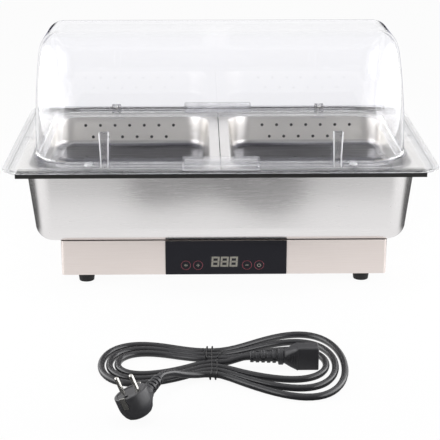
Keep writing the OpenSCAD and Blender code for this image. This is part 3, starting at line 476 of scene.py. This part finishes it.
food_steel = brushed("perforated_pan_steel", "#f6f4f0", "#fbf9f5", 0.3, 0.36, along_x, 0.7)
tree = food_steel.node_tree
shader = next(n for n in tree.nodes if n.type == "BSDF_PRINCIPLED")
bright = shader.inputs["Base Color"].links[0].from_socket
coords = add(tree, "ShaderNodeTexCoord").outputs["Object"]
height = add(tree, "ShaderNodeSeparateXYZ", {"Vector": coords}).outputs["Z"]
# Painted shade: below the walls the colour turns to a dark, streaky grey
shaded_floor_share = span(tree, height, (food_rim - 43) * mm, (food_rim - 37) * mm, 1.0, 0.0)
streaks = add(tree, "ShaderNodeMapping", {"Vector": coords, "Scale": (3.0, 60.0, 1.0)}).outputs[0]
painted_floor_shade = two_tone(tree, noise(tree, streaks, 4.0, 3.0), "#54545a", "#6e6e74", 0.35, 0.65)
mixed = add(tree, "ShaderNodeMix", {"Factor": shaded_floor_share, "A": bright, "B": painted_floor_shade}, data_type="RGBA")
tree.links.new(mixed.outputs["Result"], shader.inputs["Base Color"])
holes = perforation_tree()


def hole_cloud(name, points):
    mesh = bpy.data.meshes.new(name)
    mesh.from_pydata([Vector(p) * mm for p in points], [], [])
    cloud = bpy.data.objects.new(name, mesh)
    bpy.context.scene.collection.objects.link(cloud)
    return cloud


for side, body in ((-1, "pan_left"), (1, "pan_right")):
    middle = side * (0.5 + food_w / 2)
    build = bmesh.new()
    loft(build, pan_rings(food_w, rim=13.5, depth=food_depth, lean=5, corner_r=40, low_r=30, floor_r=10,
                          top=food_rim, middle=middle))
    shell = finish_mesh(body + "_blank", build, food_steel, 50)
    in_walls = [(middle + (i - (6 - row) / 2) * hole_pitch, 0, food_rim - first_row - row_pitch * row)
                for row in (0, 1) for i in range(7 - row)]
    in_floor = [(middle + (i - 1.5) * floor_hole_pitch, y, food_rim - food_depth)
                for i in range(4) for y in (-floor_hole_y, floor_hole_y)]
    for name, places, depth, turn in (("food_" + body + "_half", in_walls, tray_d + 5, math.pi / 2),
                                      ("food_" + body, in_floor, 6, 0)):
        cloud = hole_cloud(name + "_holes", places)
        drilled = grown(name, shell.data, holes,
                        {"Hole places": cloud, "Hole radius": hole_r * mm, "Hole depth": depth * mm,
                         "Hole turn": turn, "Material": food_steel}, food_steel)
        bpy.data.objects.remove(shell)
        bpy.data.objects.remove(cloud)
        shell = drilled
    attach(shell, body)
    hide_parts("food_" + body)

# Seal
# Two black rubber strips under the frame close the gap to the pan rims, one in front and one at the back.
# Extruded rubber: matt, deep black.
dress("rim_seal", moulded("extruded_seal_rubber", "#080807", "#0d0c0b", 0.75, 0.6, 0.03))

# Cover frame
# A clear moulded frame with a raised lip and groove round it, two front posts, hinge lugs and a bridge.
# Clear polycarbonate: reflections and edges show it, with a slight lavender-grey tint where it is thick.
plate_low, plate_top = 164.2, 167.2
hinge_x, hinge_y, hinge_z, lug_r = 152, 150, 174.2, 5.5
post_x, post_y = 150, -151


def clear_plastic(name, tint, bending):
    # Clear plastic with the faint ripple of its mould. Bending is the share of the light that its walls
    # bend; the rest goes straight through.
    material, tree, shader, coords = new_material(name)
    fill(tree, shader, {"Normal": bumped(tree, noise(tree, coords, 9.0, 1.0), 0.4, 0.2),
                        "Roughness": span(tree, noise(tree, coords, 30.0, 3.0), 0.3, 0.7, 0.0, 0.02),
                        "Base Color": linear(tint), "Transmission Weight": 1.0, "IOR": 1.49,
                        "Alpha": bending})
    # Where the eye looks along a wall, as at its outline, the wall is greyer
    slanting = add(tree, "ShaderNodeLayerWeight", {"Blend": 0.5}).outputs["Facing"]
    veil = add(tree, "ShaderNodeBsdfTransparent", {"Color": linear("#cdcdd6")})
    mixed = add(tree, "ShaderNodeMixShader", {0: span(tree, slanting, 0.88, 0.92),
                                              1: shader.outputs[0], 2: veil.outputs[0]})
    output = next(n for n in tree.nodes if n.type == "OUTPUT_MATERIAL")
    tree.links.new(mixed.outputs[0], output.inputs["Surface"])
    return material


clear = clear_plastic("clear_frame_polycarbonate", "#f6f6fa", 0.45)


def soft_edges(build, verts, offset, segments):
    edges = list({e for v in verts for e in v.link_edges})
    bmesh.ops.bevel(build, geom=edges, offset=offset * mm, segments=segments, profile=0.5, affect="EDGES")


def rounded_box(build, low, high, edge):
    # A block with round edges, its corners given in millimetres
    made = bmesh.ops.create_cube(build, size=1.0)["verts"]
    bmesh.ops.scale(build, vec=[(b - a) * mm for a, b in zip(low, high)], verts=made)
    bmesh.ops.translate(build, vec=[(a + b) / 2 * mm for a, b in zip(low, high)], verts=made)
    soft_edges(build, made, edge, 3)


def part_of(name, shape, material):
    build = bmesh.new()
    shape(build)
    return finish_mesh(name, build, material, 40)


def box_part(name, low, high, edge, material):
    return part_of(name, lambda b: rounded_box(b, low, high, edge), material)


def combined(name, first, others, material, operation="UNION"):
    # Fuses or cuts closed pieces into one clean shell
    for other in others:
        modifier = first.modifiers.new("with_" + other.name, "BOOLEAN")
        modifier.operation = operation
        modifier.solver = "EXACT"
        modifier.object = other
    graph = bpy.context.evaluated_depsgraph_get()
    mesh = bpy.data.meshes.new_from_object(first.evaluated_get(graph))
    for other in others:
        bpy.data.objects.remove(other)
    bpy.data.objects.remove(first)
    mesh.name = name
    mesh.materials.clear()
    mesh.shade_smooth()
    mesh.set_sharp_from_angle(angle=math.radians(40))
    return mesh_object(name, mesh, material)


def frame_rings():
    # Cross-section of the frame: opening edge, plate top, groove, lip, outer edge, underside
    w, d, r = 281, 180, 26
    open_w, open_d, open_r = 234, 130, 38
    top, lip = plate_top, plate_top + 2.2
    opening = [(open_w + out, open_d + out, open_r + out, z)
               for out, z in ((0, plate_low + 0.5), (0, top - 0.5), (0.5, top), (0.5, plate_low))]
    outside = [(w - inset, d - inset, r - inset, z) for inset, z in (
        (11, top), (10.7, top - 0.4), (10.5, top - 1), (8.5, top - 1), (8.2, top - 0.6), (8, lip - 0.8),
        (7.3, lip), (1, lip), (0.3, lip - 0.3), (0, lip - 1), (0, lip - 2.1), (0.4, lip - 2.5),
        (5, lip - 2.5), (5.5, lip - 3), (5.5, plate_low + 0.5), (6, plate_low))]
    return [outline(*row) for row in opening[:3] + outside + opening[3:]]


def post(build, x):
    # Front post, wider at its top, with softened edges
    half_foot, half_top, half_t = 5, 6.5, 4
    low, high = plate_top - 0.5, plate_top + 47
    made = bmesh.ops.create_cube(build, size=1.0)["verts"]
    for v in made:
        upper = v.co.z > 0
        v.co = Vector((x + math.copysign(half_top if upper else half_foot, v.co.x),
                       post_y + math.copysign(half_t, v.co.y), high if upper else low)) * mm
    soft_edges(build, made, 1.3, 2)


def lug(build, x, half, low):
    # Hinge lug or ear: a round end on the hinge line with a foot below it
    count = 24
    angles = [math.radians(180 * i / count) for i in range(count + 1)]
    points = [(hinge_y + lug_r * math.cos(a), hinge_z + lug_r * math.sin(a)) for a in angles]
    points += [(hinge_y - lug_r, low), (hinge_y + lug_r, low)]
    slab(build, [[build.verts.new(Vector((x + sx, y, z)) * mm) for y, z in points] for sx in (-half, half)])


frame_plate = part_of("frame_plate", lambda b: loft(b, frame_rings(), closed=True), clear)
lug_half, lug_step = 1.5, 4.9
rib_x, rib_half, rib_t = 265, 9, 4
locator_x, locator_y, locator_half, locator_t = 150, 132, 11, 3
extras = []
for side in (-1, 1):
    extras.append(part_of(f"post{side}", lambda b: post(b, side * post_x), clear))
    for offset in (-lug_step, lug_step):
        extras.append(part_of(f"lug{side}{offset}", lambda b: lug(
            b, side * hinge_x + offset, lug_half, plate_top - 0.5), clear))
    extras.append(box_part(f"rib{side}", (side * rib_x - rib_half, -rib_t / 2, plate_top - 1.2),
                           (side * rib_x + rib_half, rib_t / 2, plate_top + 2), 0.4, clear))
    for front in (-1, 1):
        x, y = side * locator_x, front * locator_y
        extras.append(box_part(f"locator{side}{front}", (x - locator_half, y - locator_t / 2, plate_low - 3),
                               (x + locator_half, y + locator_t / 2, plate_low + 0.5), 0.6, clear))
bridge_half, bridge_front, bridge_back, bridge_h, bridge_wall = 50, 144.5, 172, 10, 3
inner_half = bridge_half - bridge_wall
bridge = box_part("bridge", (-bridge_half, bridge_front, plate_top - 0.5),
                  (bridge_half, bridge_back, plate_top + bridge_h), 2, clear)
hollow = box_part("bridge_hollow", (-inner_half, bridge_front + bridge_wall, plate_top - 0.2),
                  (inner_half, bridge_back - bridge_wall, plate_top + bridge_h - bridge_wall), 1, clear)
bridge = combined("bridge_shell", bridge, [hollow], clear, "DIFFERENCE")
cover = combined("cover_frame_shell", frame_plate, extras + [bridge], clear)
# The posts' softened edges are painted white: a painted highlight along them
post_edge_highlight = moulded("frosted_polycarbonate", "#f0f0f3", "#f8f8fa", 0.45, 1.0, 0.01)
cover.data.materials.append(post_edge_highlight)
for face in cover.data.polygons:
    x, y, z = face.center / mm
    on_post = abs(abs(x) - post_x) < 8 and abs(y - post_y) < 4.2 and z > plate_top + 1
    if on_post and 0.3 < abs(face.normal.x) < 0.96:
        face.material_index = 1
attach(cover, "cover")
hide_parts("cover_frame")
# Two small silicone buttons on which the hood's front rests, painted milky white as a painted highlight
dress("hood_rests", moulded("milky_silicone", "#e9e9ec", "#f2f2f4", 0.4, 1.0, 0.01))

# Hood
# A clear moulded hood with a foot flange, a hollow front handle and two ears on the hinge pins. Its front
# rolls into the top in one sweep, which the CAD solid does not have: there all edges are alike.
# Clear polycarbonate, the same as the frame; its round corners catch the light.
hood_low, hood_high = 170.2, 316.2
hood_clear = clear_plastic("clear_hood_polycarbonate", "#fdfdff", 1.0)


def drawn_in(z, low, high, reach):
    # How far a wall that rolls over between two heights has come in at height z, as a quarter of an ellipse
    climb = min(max((z - low) / (high - low), 0), 1)
    return reach * (1 - math.sqrt(1 - climb ** 2))


def hood_rings():
    # Outlines from the inner top down to the foot and up the outside; the ends and the back have round edges
    w, d, h = 244, 140, hood_high - hood_low
    wall, foot, lean, flare, roll_from = 2.5, 4, 4, 2, 12
    corner, front_corner, end_edge, back_edge = 48, 80, 27, 50
    least_r, top_inset = 2, 6

    def side(thick):
        half_w, half_d, top = w - thick, d - thick, h - thick
        corner_r, front_r, end_r, back_r = (r - thick for r in (corner, front_corner, end_edge, back_edge))
        rise = top - end_r
        levels = [(share, rise * share, 1) for share in [0.06] + [i / 12 for i in range(1, 12)]]
        for i in range(19):
            a = math.radians(90 * i / 18)
            levels.append((1, rise + end_r * math.sin(a), math.cos(a)))
        rows = []
        for share, z, shrink in levels:
            back = half_d - lean * share - drawn_in(z, top - back_r, top, back_r)
            front = half_d - drawn_in(z, roll_from, top, half_d)
            rows.append((half_w + flare * share - drawn_in(z, rise, top, end_r), back,
                         max((corner_r + (end_r - corner_r) * share) * shrink, least_r), z,
                         max((corner_r + (front_r - corner_r) * share) * shrink, least_r),
                         max(back - front, 0)))
        flat = half_d - lean - back_r - top_inset
        rows.append((half_w + flare - end_r - top_inset, flat, least_r, top, least_r, flat + top_inset))
        return rows

    rows = side(wall)[::-1]
    for inset, r, z in ((wall, corner - wall, 0.6), (wall - 0.6, corner - wall + 0.6, 0),
                        (0.6 - foot, corner + foot, 0), (-foot, corner + foot, 0.6),
                        (-foot, corner + foot, 1.9), (0.6 - foot, corner + foot, 2.5),
                        (-1, corner + 1, 2.6), (-0.2, corner, 3.4)):
        rows.append((w - inset, d - inset, r, z, r, 0))
    rows += side(0)
    return [outline(hw, hd, r, hood_low + z, front_r=front_r, pull=pull)
            for hw, hd, r, z, front_r, pull in rows]


hood_dome = part_of("hood_dome", lambda b: loft(b, hood_rings()), clear)
handle_half, handle_front, handle_back, handle_h, handle_wall = 50, -178, -139, 9, 2.5
inner_half = handle_half - handle_wall
handle = box_part("handle", (-handle_half, handle_front, hood_low),
                  (handle_half, handle_back, hood_low + handle_h), 2, clear)
handle_hollow = box_part("handle_hollow", (-inner_half, handle_front + handle_wall, hood_low - 4),
                         (inner_half, handle_back - 3.5, hood_low + handle_h - handle_wall), 1.5, clear)
handle = combined("handle_shell", handle, [handle_hollow], clear, "DIFFERENCE")
ear_half, ear_root = 3, 138.6
ears = []
for side in (-1, 1):
    x = side * hinge_x
    ears.append(part_of(f"ear{side}", lambda b: lug(b, x, ear_half, hinge_z - lug_r), clear))
    ears.append(box_part(f"arm{side}", (x - ear_half, ear_root, hinge_z - lug_r),
                         (x + ear_half, hinge_y, hinge_z + lug_r), 0.3, clear))
hood = combined("hood_clear_shell", hood_dome, [handle] + ears, hood_clear)
# Foot, handle and ears are as thin and pale as the frame
hood.data.materials.append(clear)
for face in hood.data.polygons:
    x, y, z = face.center / mm
    if z < hood_low + 3.5 or (abs(y) > 140.3 and z < hood_low + 12):
        face.material_index = 1
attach(hood, "hood")
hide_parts("hood_shell")

# Mains lead
# A round three-core lead, about 2.2 m, folded three times into a flat hank and tied at its waist.
# Black PVC sheath: smooth, shinier than the plug.
hank_at = Vector((-15, -398, 0))
cord_d = 8.0
turns = 3
steps_per_turn = 96


def hank_point(u):
    # A place on the hank after u turns; its left and right loops shrink from turn to turn
    s = math.sin(2 * math.pi * u)
    reach = 134 - 9.5 * u if s < 0 else 155 - 10.5 * u
    swell = 92 - 11 * u if s < 0 else 165 - 37 * u
    softness = 0.15
    spread = math.sqrt(s * s + softness * softness) - softness
    waist = 10.2 * (turns + 0.25 - u)
    x = reach * s
    lift = 2.6 * math.exp(-(x / 25) ** 2)
    return hank_at + Vector((x, -math.cos(2 * math.pi * u) * (waist + swell * spread), cord_d / 2 + lift))


def smooth_route(points, steps=8):
    # A round curve through the route's points
    ends = [points[0] * 2 - points[1]] + list(points) + [points[-1] * 2 - points[-2]]
    made = []
    for i in range(1, len(ends) - 2):
        a, b, c, d = ends[i - 1:i + 3]
        for k in range(steps):
            t = k / steps
            made.append(0.5 * (2 * b + (c - a) * t + (2 * a - 5 * b + 4 * c - d) * t ** 2
                               + (3 * b - a - 3 * c + d) * t ** 3))
    return made + [points[-1]]


hank = [hank_point(i / steps_per_turn) for i in range(turns * steps_per_turn + 1)]
hank = [hank[0] - Vector((cord_d, 0, 0))] + hank + [hank[-1] + Vector((cord_d, 0, 0))]
connector_at = hank_at + Vector((44, -3, 14))
plug_at = hank_at + Vector((-81, -131, 19))
plug_turn, plug_rise, plug_roll = (math.radians(a) for a in (65, 6, -22))
plug_axis = Vector((math.cos(plug_turn) * math.cos(plug_rise), math.sin(plug_turn) * math.cos(plug_rise),
                    math.sin(plug_rise)))
plug_reach = 54
plug_relief_end = plug_at + plug_axis * plug_reach
to_connector = ((36, -3, 13.2), (27, -2.8, 10.4), (18, -2.6, 7.6))
to_plug = ((-19, -37.5, 8), (-30, -45, 12), (-39, -53, 17), (-47, -63, 22))
connector_route = [connector_at] + [hank_at + Vector(p) for p in to_connector]
plug_route = [hank_at + Vector(p) for p in to_plug]
plug_route += [plug_relief_end + plug_axis * cord_d, plug_relief_end]
near_end = smooth_route(connector_route + hank[::-1][:2])[:-8]
far_end = smooth_route(hank[::-1][-2:] + plug_route)[8:]
route = near_end + hank[::-1] + far_end[1:]

pvc_sheath = moulded("black_pvc_sheath", "#242427", "#29292c", 0.24, 1.2, 0.01)
curve = bpy.data.curves.new("mains_lead", "CURVE")
curve.dimensions = "3D"
curve.bevel_depth = cord_d / 2 * mm
curve.bevel_resolution = 5
spline = curve.splines.new("POLY")
spline.points.add(len(route) - 1)
for point, place in zip(spline.points, route):
    point.co = (*(place * mm), 1.0)
spline.use_smooth = True
curve.materials.append(pvc_sheath)
lead = bpy.data.objects.new("mains_lead", curve)
bpy.context.scene.collection.objects.link(lead)
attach(lead, "base")
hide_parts("connector_lead", "cord_hank", "plug_lead")

# Wire tie
# A coated wire twisted twice round the waist of the hank, its ends left loose.
# Coated wire: thin, black, a little shiny.
dress("cord_tie", moulded("coated_tie_wire", "#141416", "#1b1b1d", 0.45, 0.8, 0.03))

# Appliance connector and its relief
# A three-pole connector moulded on the lead, with a slotted relief.
# Moulded PVC: matt black with softened edges.
moulded_pvc = moulded("moulded_black_pvc", "#2c2c2f", "#333336", 0.42, 0.8, 0.04)


def section_loft(build, sections):
    # Skin over round-cornered sections set square on the local X axis, in millimetres
    rings = []
    for x, half_y, half_z, radius in sections:
        flat = outline(half_y, half_z, radius, 0, steps=8)
        rings.append([Vector((x * mm, p.x, p.y)) for p in flat])
    loft(build, rings)


def arc_block(build, x0, x1, inner, outer, start, end):
    # Part of a ring round the local X axis, between two angles in degrees
    steps, soft = 10, 0.4
    section = ((x0, inner), (x0, outer - soft), (x0 + soft, outer), (x1 - soft, outer), (x1, outer - soft),
               (x1, inner))
    count = len(section)
    rows = []
    for i in range(steps + 1):
        a = math.radians(start + (end - start) * i / steps)
        rows.append([build.verts.new(Vector((x, r * math.cos(a), r * math.sin(a))) * mm) for x, r in section])
    for low, high in zip(rows[:-1], rows[1:]):
        for k in range(count):
            build.faces.new((low[k], low[(k + 1) % count], high[(k + 1) % count], high[k]))
    build.faces.new(rows[0][::-1])
    build.faces.new(rows[-1])


def relief(build, length, tip_d, root_d):
    # A tapered core with half rings, turned a quarter from one row to the next
    core_r, rows, solid_share, slot_angle = 3.2, 5, 0.62, 12
    section_loft(build, [(x, r, r, 9) for x, r in (
        (0, tip_d / 2 - 1.8), (0.6, tip_d / 2 - 1.2), (length, root_d / 2 - 1.6))])
    pitch = length / rows
    for i in range(rows):
        outer = (tip_d + (root_d - tip_d) * i / (rows - 1)) / 2
        for half in (0, 180):
            start = 90 * (i % 2) + half + slot_angle
            arc_block(build, i * pitch, (i + solid_share) * pitch, core_r, outer, start,
                      start + 180 - 2 * slot_angle)


def set_down(piece, matrix):
    # Moves a finished mesh to its place, so that the object itself stays at the origin
    piece.data.transform(matrix)
    piece.data.update()
    return piece


at_connector = Matrix.Translation(connector_at * mm)
connector_relief = part_of("connector_slotted_relief", lambda b: relief(b, 32, 13, 15), moulded_pvc)
set_down(connector_relief, at_connector)
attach(connector_relief, "base")
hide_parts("connector_relief")

# Sections from the relief to the face: place, half width, half height, corner radius
connector_sections = [(32, 8.3, 8.3, 8.2), (32.7, 9.5, 9.5, 9.4), (37.3, 9.5, 9.5, 9.4), (38, 8.5, 8.5, 8.4),
                      (38.6, 7.6, 7.6, 7.5), (40, 7.8, 8.2, 7), (46, 9.0, 11.0, 5), (52, 10.1, 13.2, 3.5),
                      (53.4, 10.5, 13.7, 2.5), (54, 10.5, 13.75, 2.2), (54.4, 9.5, 13.75, 2.2),
                      (77.3, 9.5, 13.75, 2.2), (78, 8.9, 13.1, 1.8)]
shell = part_of("connector_blank", lambda b: section_loft(b, connector_sections), moulded_pvc)
slot_w, slot_h = 5.2, 3.2
slots = [box_part(f"slot{z}", (61, y - slot_w / 2, z - slot_h / 2), (79, y + slot_w / 2, z + slot_h / 2), 0.2,
                  moulded_pvc) for y, z in ((-2, -7), (2, 0), (-2, 7))]
connector = combined("connector_moulding", shell, slots, moulded_pvc, "DIFFERENCE")
set_down(connector, at_connector)
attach(connector, "base")
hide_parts("connector_body")

# Ribs to hold it by, longer towards the face
rib_pitch = 2.6
build = bmesh.new()
for side in (-1, 1):
    for i in range(4):
        x, reach = 42.5 + rib_pitch * i, 3.2 + 1.1 * i
        y = side * (8.2 + 0.24 * (rib_pitch * i + 2.5))
        rounded_box(build, (x - 0.6, y - 0.5, -reach), (x + 0.6, y + 0.5, reach), 0.25)
grip = set_down(finish_mesh("connector_grip_ribs", build, moulded_pvc, 40), at_connector)
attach(grip, "base")

# Earthed plug and its relief
# A round angled plug moulded on the lead, with two pins, two earth clips and a hole for an earth pin.
# The same matt black PVC; pins and clips are plated, as the screws are.
at_plug = (Matrix.Translation(plug_at * mm) @ Matrix.Rotation(plug_turn, 4, "Z")
           @ Matrix.Rotation(-plug_rise, 4, "Y") @ Matrix.Rotation(plug_roll, 4, "X"))
head_r, pin_y = 18.5, 9.5


def plug_head(build):
    # Round head turned about the pins' direction: flat face, rounded rim, domed back
    count = 64
    profile = ((15, 14.2), (15.6, 15), (17.6, 15), (18.3, 14.5), (head_r, 13.6), (head_r, 2), (18.2, -1),
               (17.4, -4.5), (15.8, -8.5), (13.4, -11.6), (10.5, -13.2), (6, -13.5))
    angles = [2 * math.pi * i / count for i in range(count)]
    loft(build, [[Vector((r * math.cos(a), r * math.sin(a), z)) * mm for a in angles] for r, z in profile])


def drill(name, radius, depth, place):
    # A round cutter that goes down into the plug's face
    ends = [(x, radius, radius, radius - 0.01) for x in (-1, depth)]
    cutter = part_of(name, lambda b: section_loft(b, ends), moulded_pvc)
    return set_down(cutter, Matrix.Translation(Vector(place) * mm) @ Matrix.Rotation(math.pi / 2, 4, "Y"))


head = part_of("plug_head", plug_head, moulded_pvc)
neck_sections = [(4, 15.5, 10.5, 9), (10, 14.6, 10.4, 9), (16, 12, 10, 9), (20, 10, 9.6, 9.2),
                 (22, 9.4, 9.3, 9.2), (24, 9, 9, 8.9)]
neck = part_of("plug_neck", lambda b: section_loft(b, neck_sections), moulded_pvc)
cuts = [drill("earth_hole", 2.7, 14, (-10, 0, 16))]
cuts += [box_part(f"clip_seat{side}", (side * head_r - 1.5, -4, 2.5), (side * head_r + 1.5, 4, 16.5), 0.3,
                  moulded_pvc) for side in (-1, 1)]
cuts += [drill(f"pin_seat{y}", 2.45, 8, (0, y, 15.2)) for y in (-pin_y, pin_y)]
plug = combined("plug_fused", head, [neck], moulded_pvc)
plug = combined("plug_moulding", plug, cuts, moulded_pvc, "DIFFERENCE")
set_down(plug, at_plug)
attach(plug, "base")
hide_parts("plug_body")

plug_relief = part_of("plug_slotted_relief", lambda b: relief(b, 30, 12, 15), moulded_pvc)
relief_place = Matrix.Translation(Vector((plug_reach, 0, 0)) * mm) @ Matrix.Rotation(math.pi, 4, "Z")
set_down(plug_relief, at_plug @ relief_place)
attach(plug_relief, "base")
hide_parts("plug_relief")
for node in ("plug_pins", "plug_earth_clips"):
    dress(node, plated_steel)

# Floor, light and camera
# A plain white floor and an even studio. Soft boxes at both sides and above light the warmer; mirrors do
# not show them, but dark cards and bright panels that floor and world hold for reflections alone.
# The camera stands in front, a little above the hood, with a long lens.
white = (1, 1, 1, 1)


def reckon(tree, operation, *values):
    return add(tree, "ShaderNodeMath", dict(enumerate(values)), operation=operation).outputs[0]


def looked_at(tree):
    # Whether a ray comes from the eye, a reflection or through clear plastic, and whether from a reflection
    rays = add(tree, "ShaderNodeLightPath").outputs
    direct = reckon(tree, "MAXIMUM", rays["Is Camera Ray"], rays["Is Glossy Ray"])
    return reckon(tree, "MAXIMUM", direct, rays["Is Transmission Ray"]), rays["Is Glossy Ray"]


floor_white = bpy.data.materials.new("white_floor")
floor_white.use_nodes = True
tree = floor_white.node_tree
tree.nodes.clear()
seen, mirrored = looked_at(tree)
# In reflections the floor darkens in front of the warmer and behind both its ends, as from dark cards
coords = add(tree, "ShaderNodeTexCoord").outputs["Object"]
place = add(tree, "ShaderNodeSeparateXYZ", {"Vector": coords}).outputs
away = reckon(tree, "ABSOLUTE", place["X"])
card_tone = 0.05
ahead = span(tree, place["Y"], -0.5, -0.33, card_tone, 1.0, smooth=True)
beside = span(tree, away, 0.2, 0.46, card_tone, 1.0, smooth=True)
spot = add(tree, "ShaderNodeCombineXYZ", {"X": reckon(tree, "ADD", away, -0.55),
                                          "Y": reckon(tree, "ADD", place["Y"], -0.15)}).outputs[0]
reach = add(tree, "ShaderNodeVectorMath", {0: spot}, operation="LENGTH").outputs["Value"]
round_cards = span(tree, reach, 0.24, 0.38, card_tone, 1.0, smooth=True)
cards = reckon(tree, "MINIMUM", reckon(tree, "MAXIMUM", ahead, beside), round_cards)
# Far out at both sides it is brighter, for the white patches on the hood's corners
far_out = span(tree, away, 0.9, 1.0, 0.0, 2.2)
near = span(tree, place["Y"], 0.1, 0.3, 1.0, 0.0)
cards = reckon(tree, "MULTIPLY_ADD", far_out, near, cards)
strength = add(tree, "ShaderNodeMix", {"Factor": mirrored, "A": 1.0, "B": cards}).outputs["Result"]
# White where it is looked at, though a shadow still dims it a little
glow = add(tree, "ShaderNodeEmission", {"Color": white, "Strength": strength})
matt = add(tree, "ShaderNodeBsdfDiffuse", {"Color": (0.8, 0.8, 0.8, 1)})
mixed = add(tree, "ShaderNodeMixShader", {0: reckon(tree, "MULTIPLY", seen, 0.94),
                                          1: matt.outputs[0], 2: glow.outputs[0]})
add(tree, "ShaderNodeOutputMaterial", {"Surface": mixed.outputs[0]})
build = bmesh.new()
bmesh.ops.create_grid(build, x_segments=1, y_segments=1, size=6.0)
floor = finish_mesh("floor", build, floor_white)

world = bpy.data.worlds.new("studio")
bpy.context.scene.world = world
world.use_nodes = True
tree = world.node_tree
tree.nodes.clear()
seen, mirrored = looked_at(tree)
coords = add(tree, "ShaderNodeTexCoord").outputs["Generated"]
direction = add(tree, "ShaderNodeSeparateXYZ", {"Vector": coords}).outputs
back = span(tree, direction["Y"], -0.9, 0.6, 0.35, 1.0)
# Mirrors also show a bright panel at each side and a wide one overhead
beside = span(tree, reckon(tree, "ABSOLUTE", direction["X"]), 0.62, 0.68, 0.0, 3.0)
lowered = span(tree, direction["Z"], 0.66, 0.76, 1.0, 0.0)
overhead = span(tree, direction["Z"], 0.5, 0.95, 0.0, 0.35)
panels = reckon(tree, "ADD", reckon(tree, "MULTIPLY_ADD", beside, lowered, overhead), back)
shown = add(tree, "ShaderNodeMix", {"Factor": mirrored, "A": 1.0, "B": panels}).outputs["Result"]
level = add(tree, "ShaderNodeMix", {"Factor": seen, "A": 0.6, "B": shown}).outputs["Result"]
sky = add(tree, "ShaderNodeBackground", {"Color": white, "Strength": level})
add(tree, "ShaderNodeOutputWorld", {"Surface": sky.outputs[0]})


def soft_box(name, place, target, size, power):
    lamp = bpy.data.lights.new(name, "AREA")
    lamp.shape = "RECTANGLE"
    lamp.size, lamp.size_y = size
    lamp.energy = power
    holder = bpy.data.objects.new(name, lamp)
    bpy.context.scene.collection.objects.link(holder)
    holder.location = place
    holder.visible_glossy = False
    holder.visible_transmission = False
    holder.rotation_euler = (Vector(target) - Vector(place)).to_track_quat("-Z", "Y").to_euler()


soft_box("left_soft_box", (-0.85, -0.2, 0.24), (0, -0.2, 0.16), (0.7, 0.42), 6)
soft_box("right_soft_box", (0.85, -0.2, 0.24), (0, -0.2, 0.16), (0.7, 0.42), 6)
soft_box("top_soft_box", (0, -0.3, 1.9), (0, -0.1, 0.1), (1.4, 0.8), 10)

camera_at = (-0.0278, -1.774, 0.6387)
camera_tilt, camera_turn = 71.5, -0.93
camera = bpy.data.cameras.new("camera")
camera.lens = 107.2
camera.sensor_width = 36
camera_holder = bpy.data.objects.new("camera", camera)
bpy.context.scene.collection.objects.link(camera_holder)
camera_holder.location = camera_at
camera_holder.rotation_euler = (math.radians(camera_tilt), 0, math.radians(camera_turn))
bpy.context.scene.camera = camera_holder
bpy.context.scene.view_settings.view_transform = "Standard"
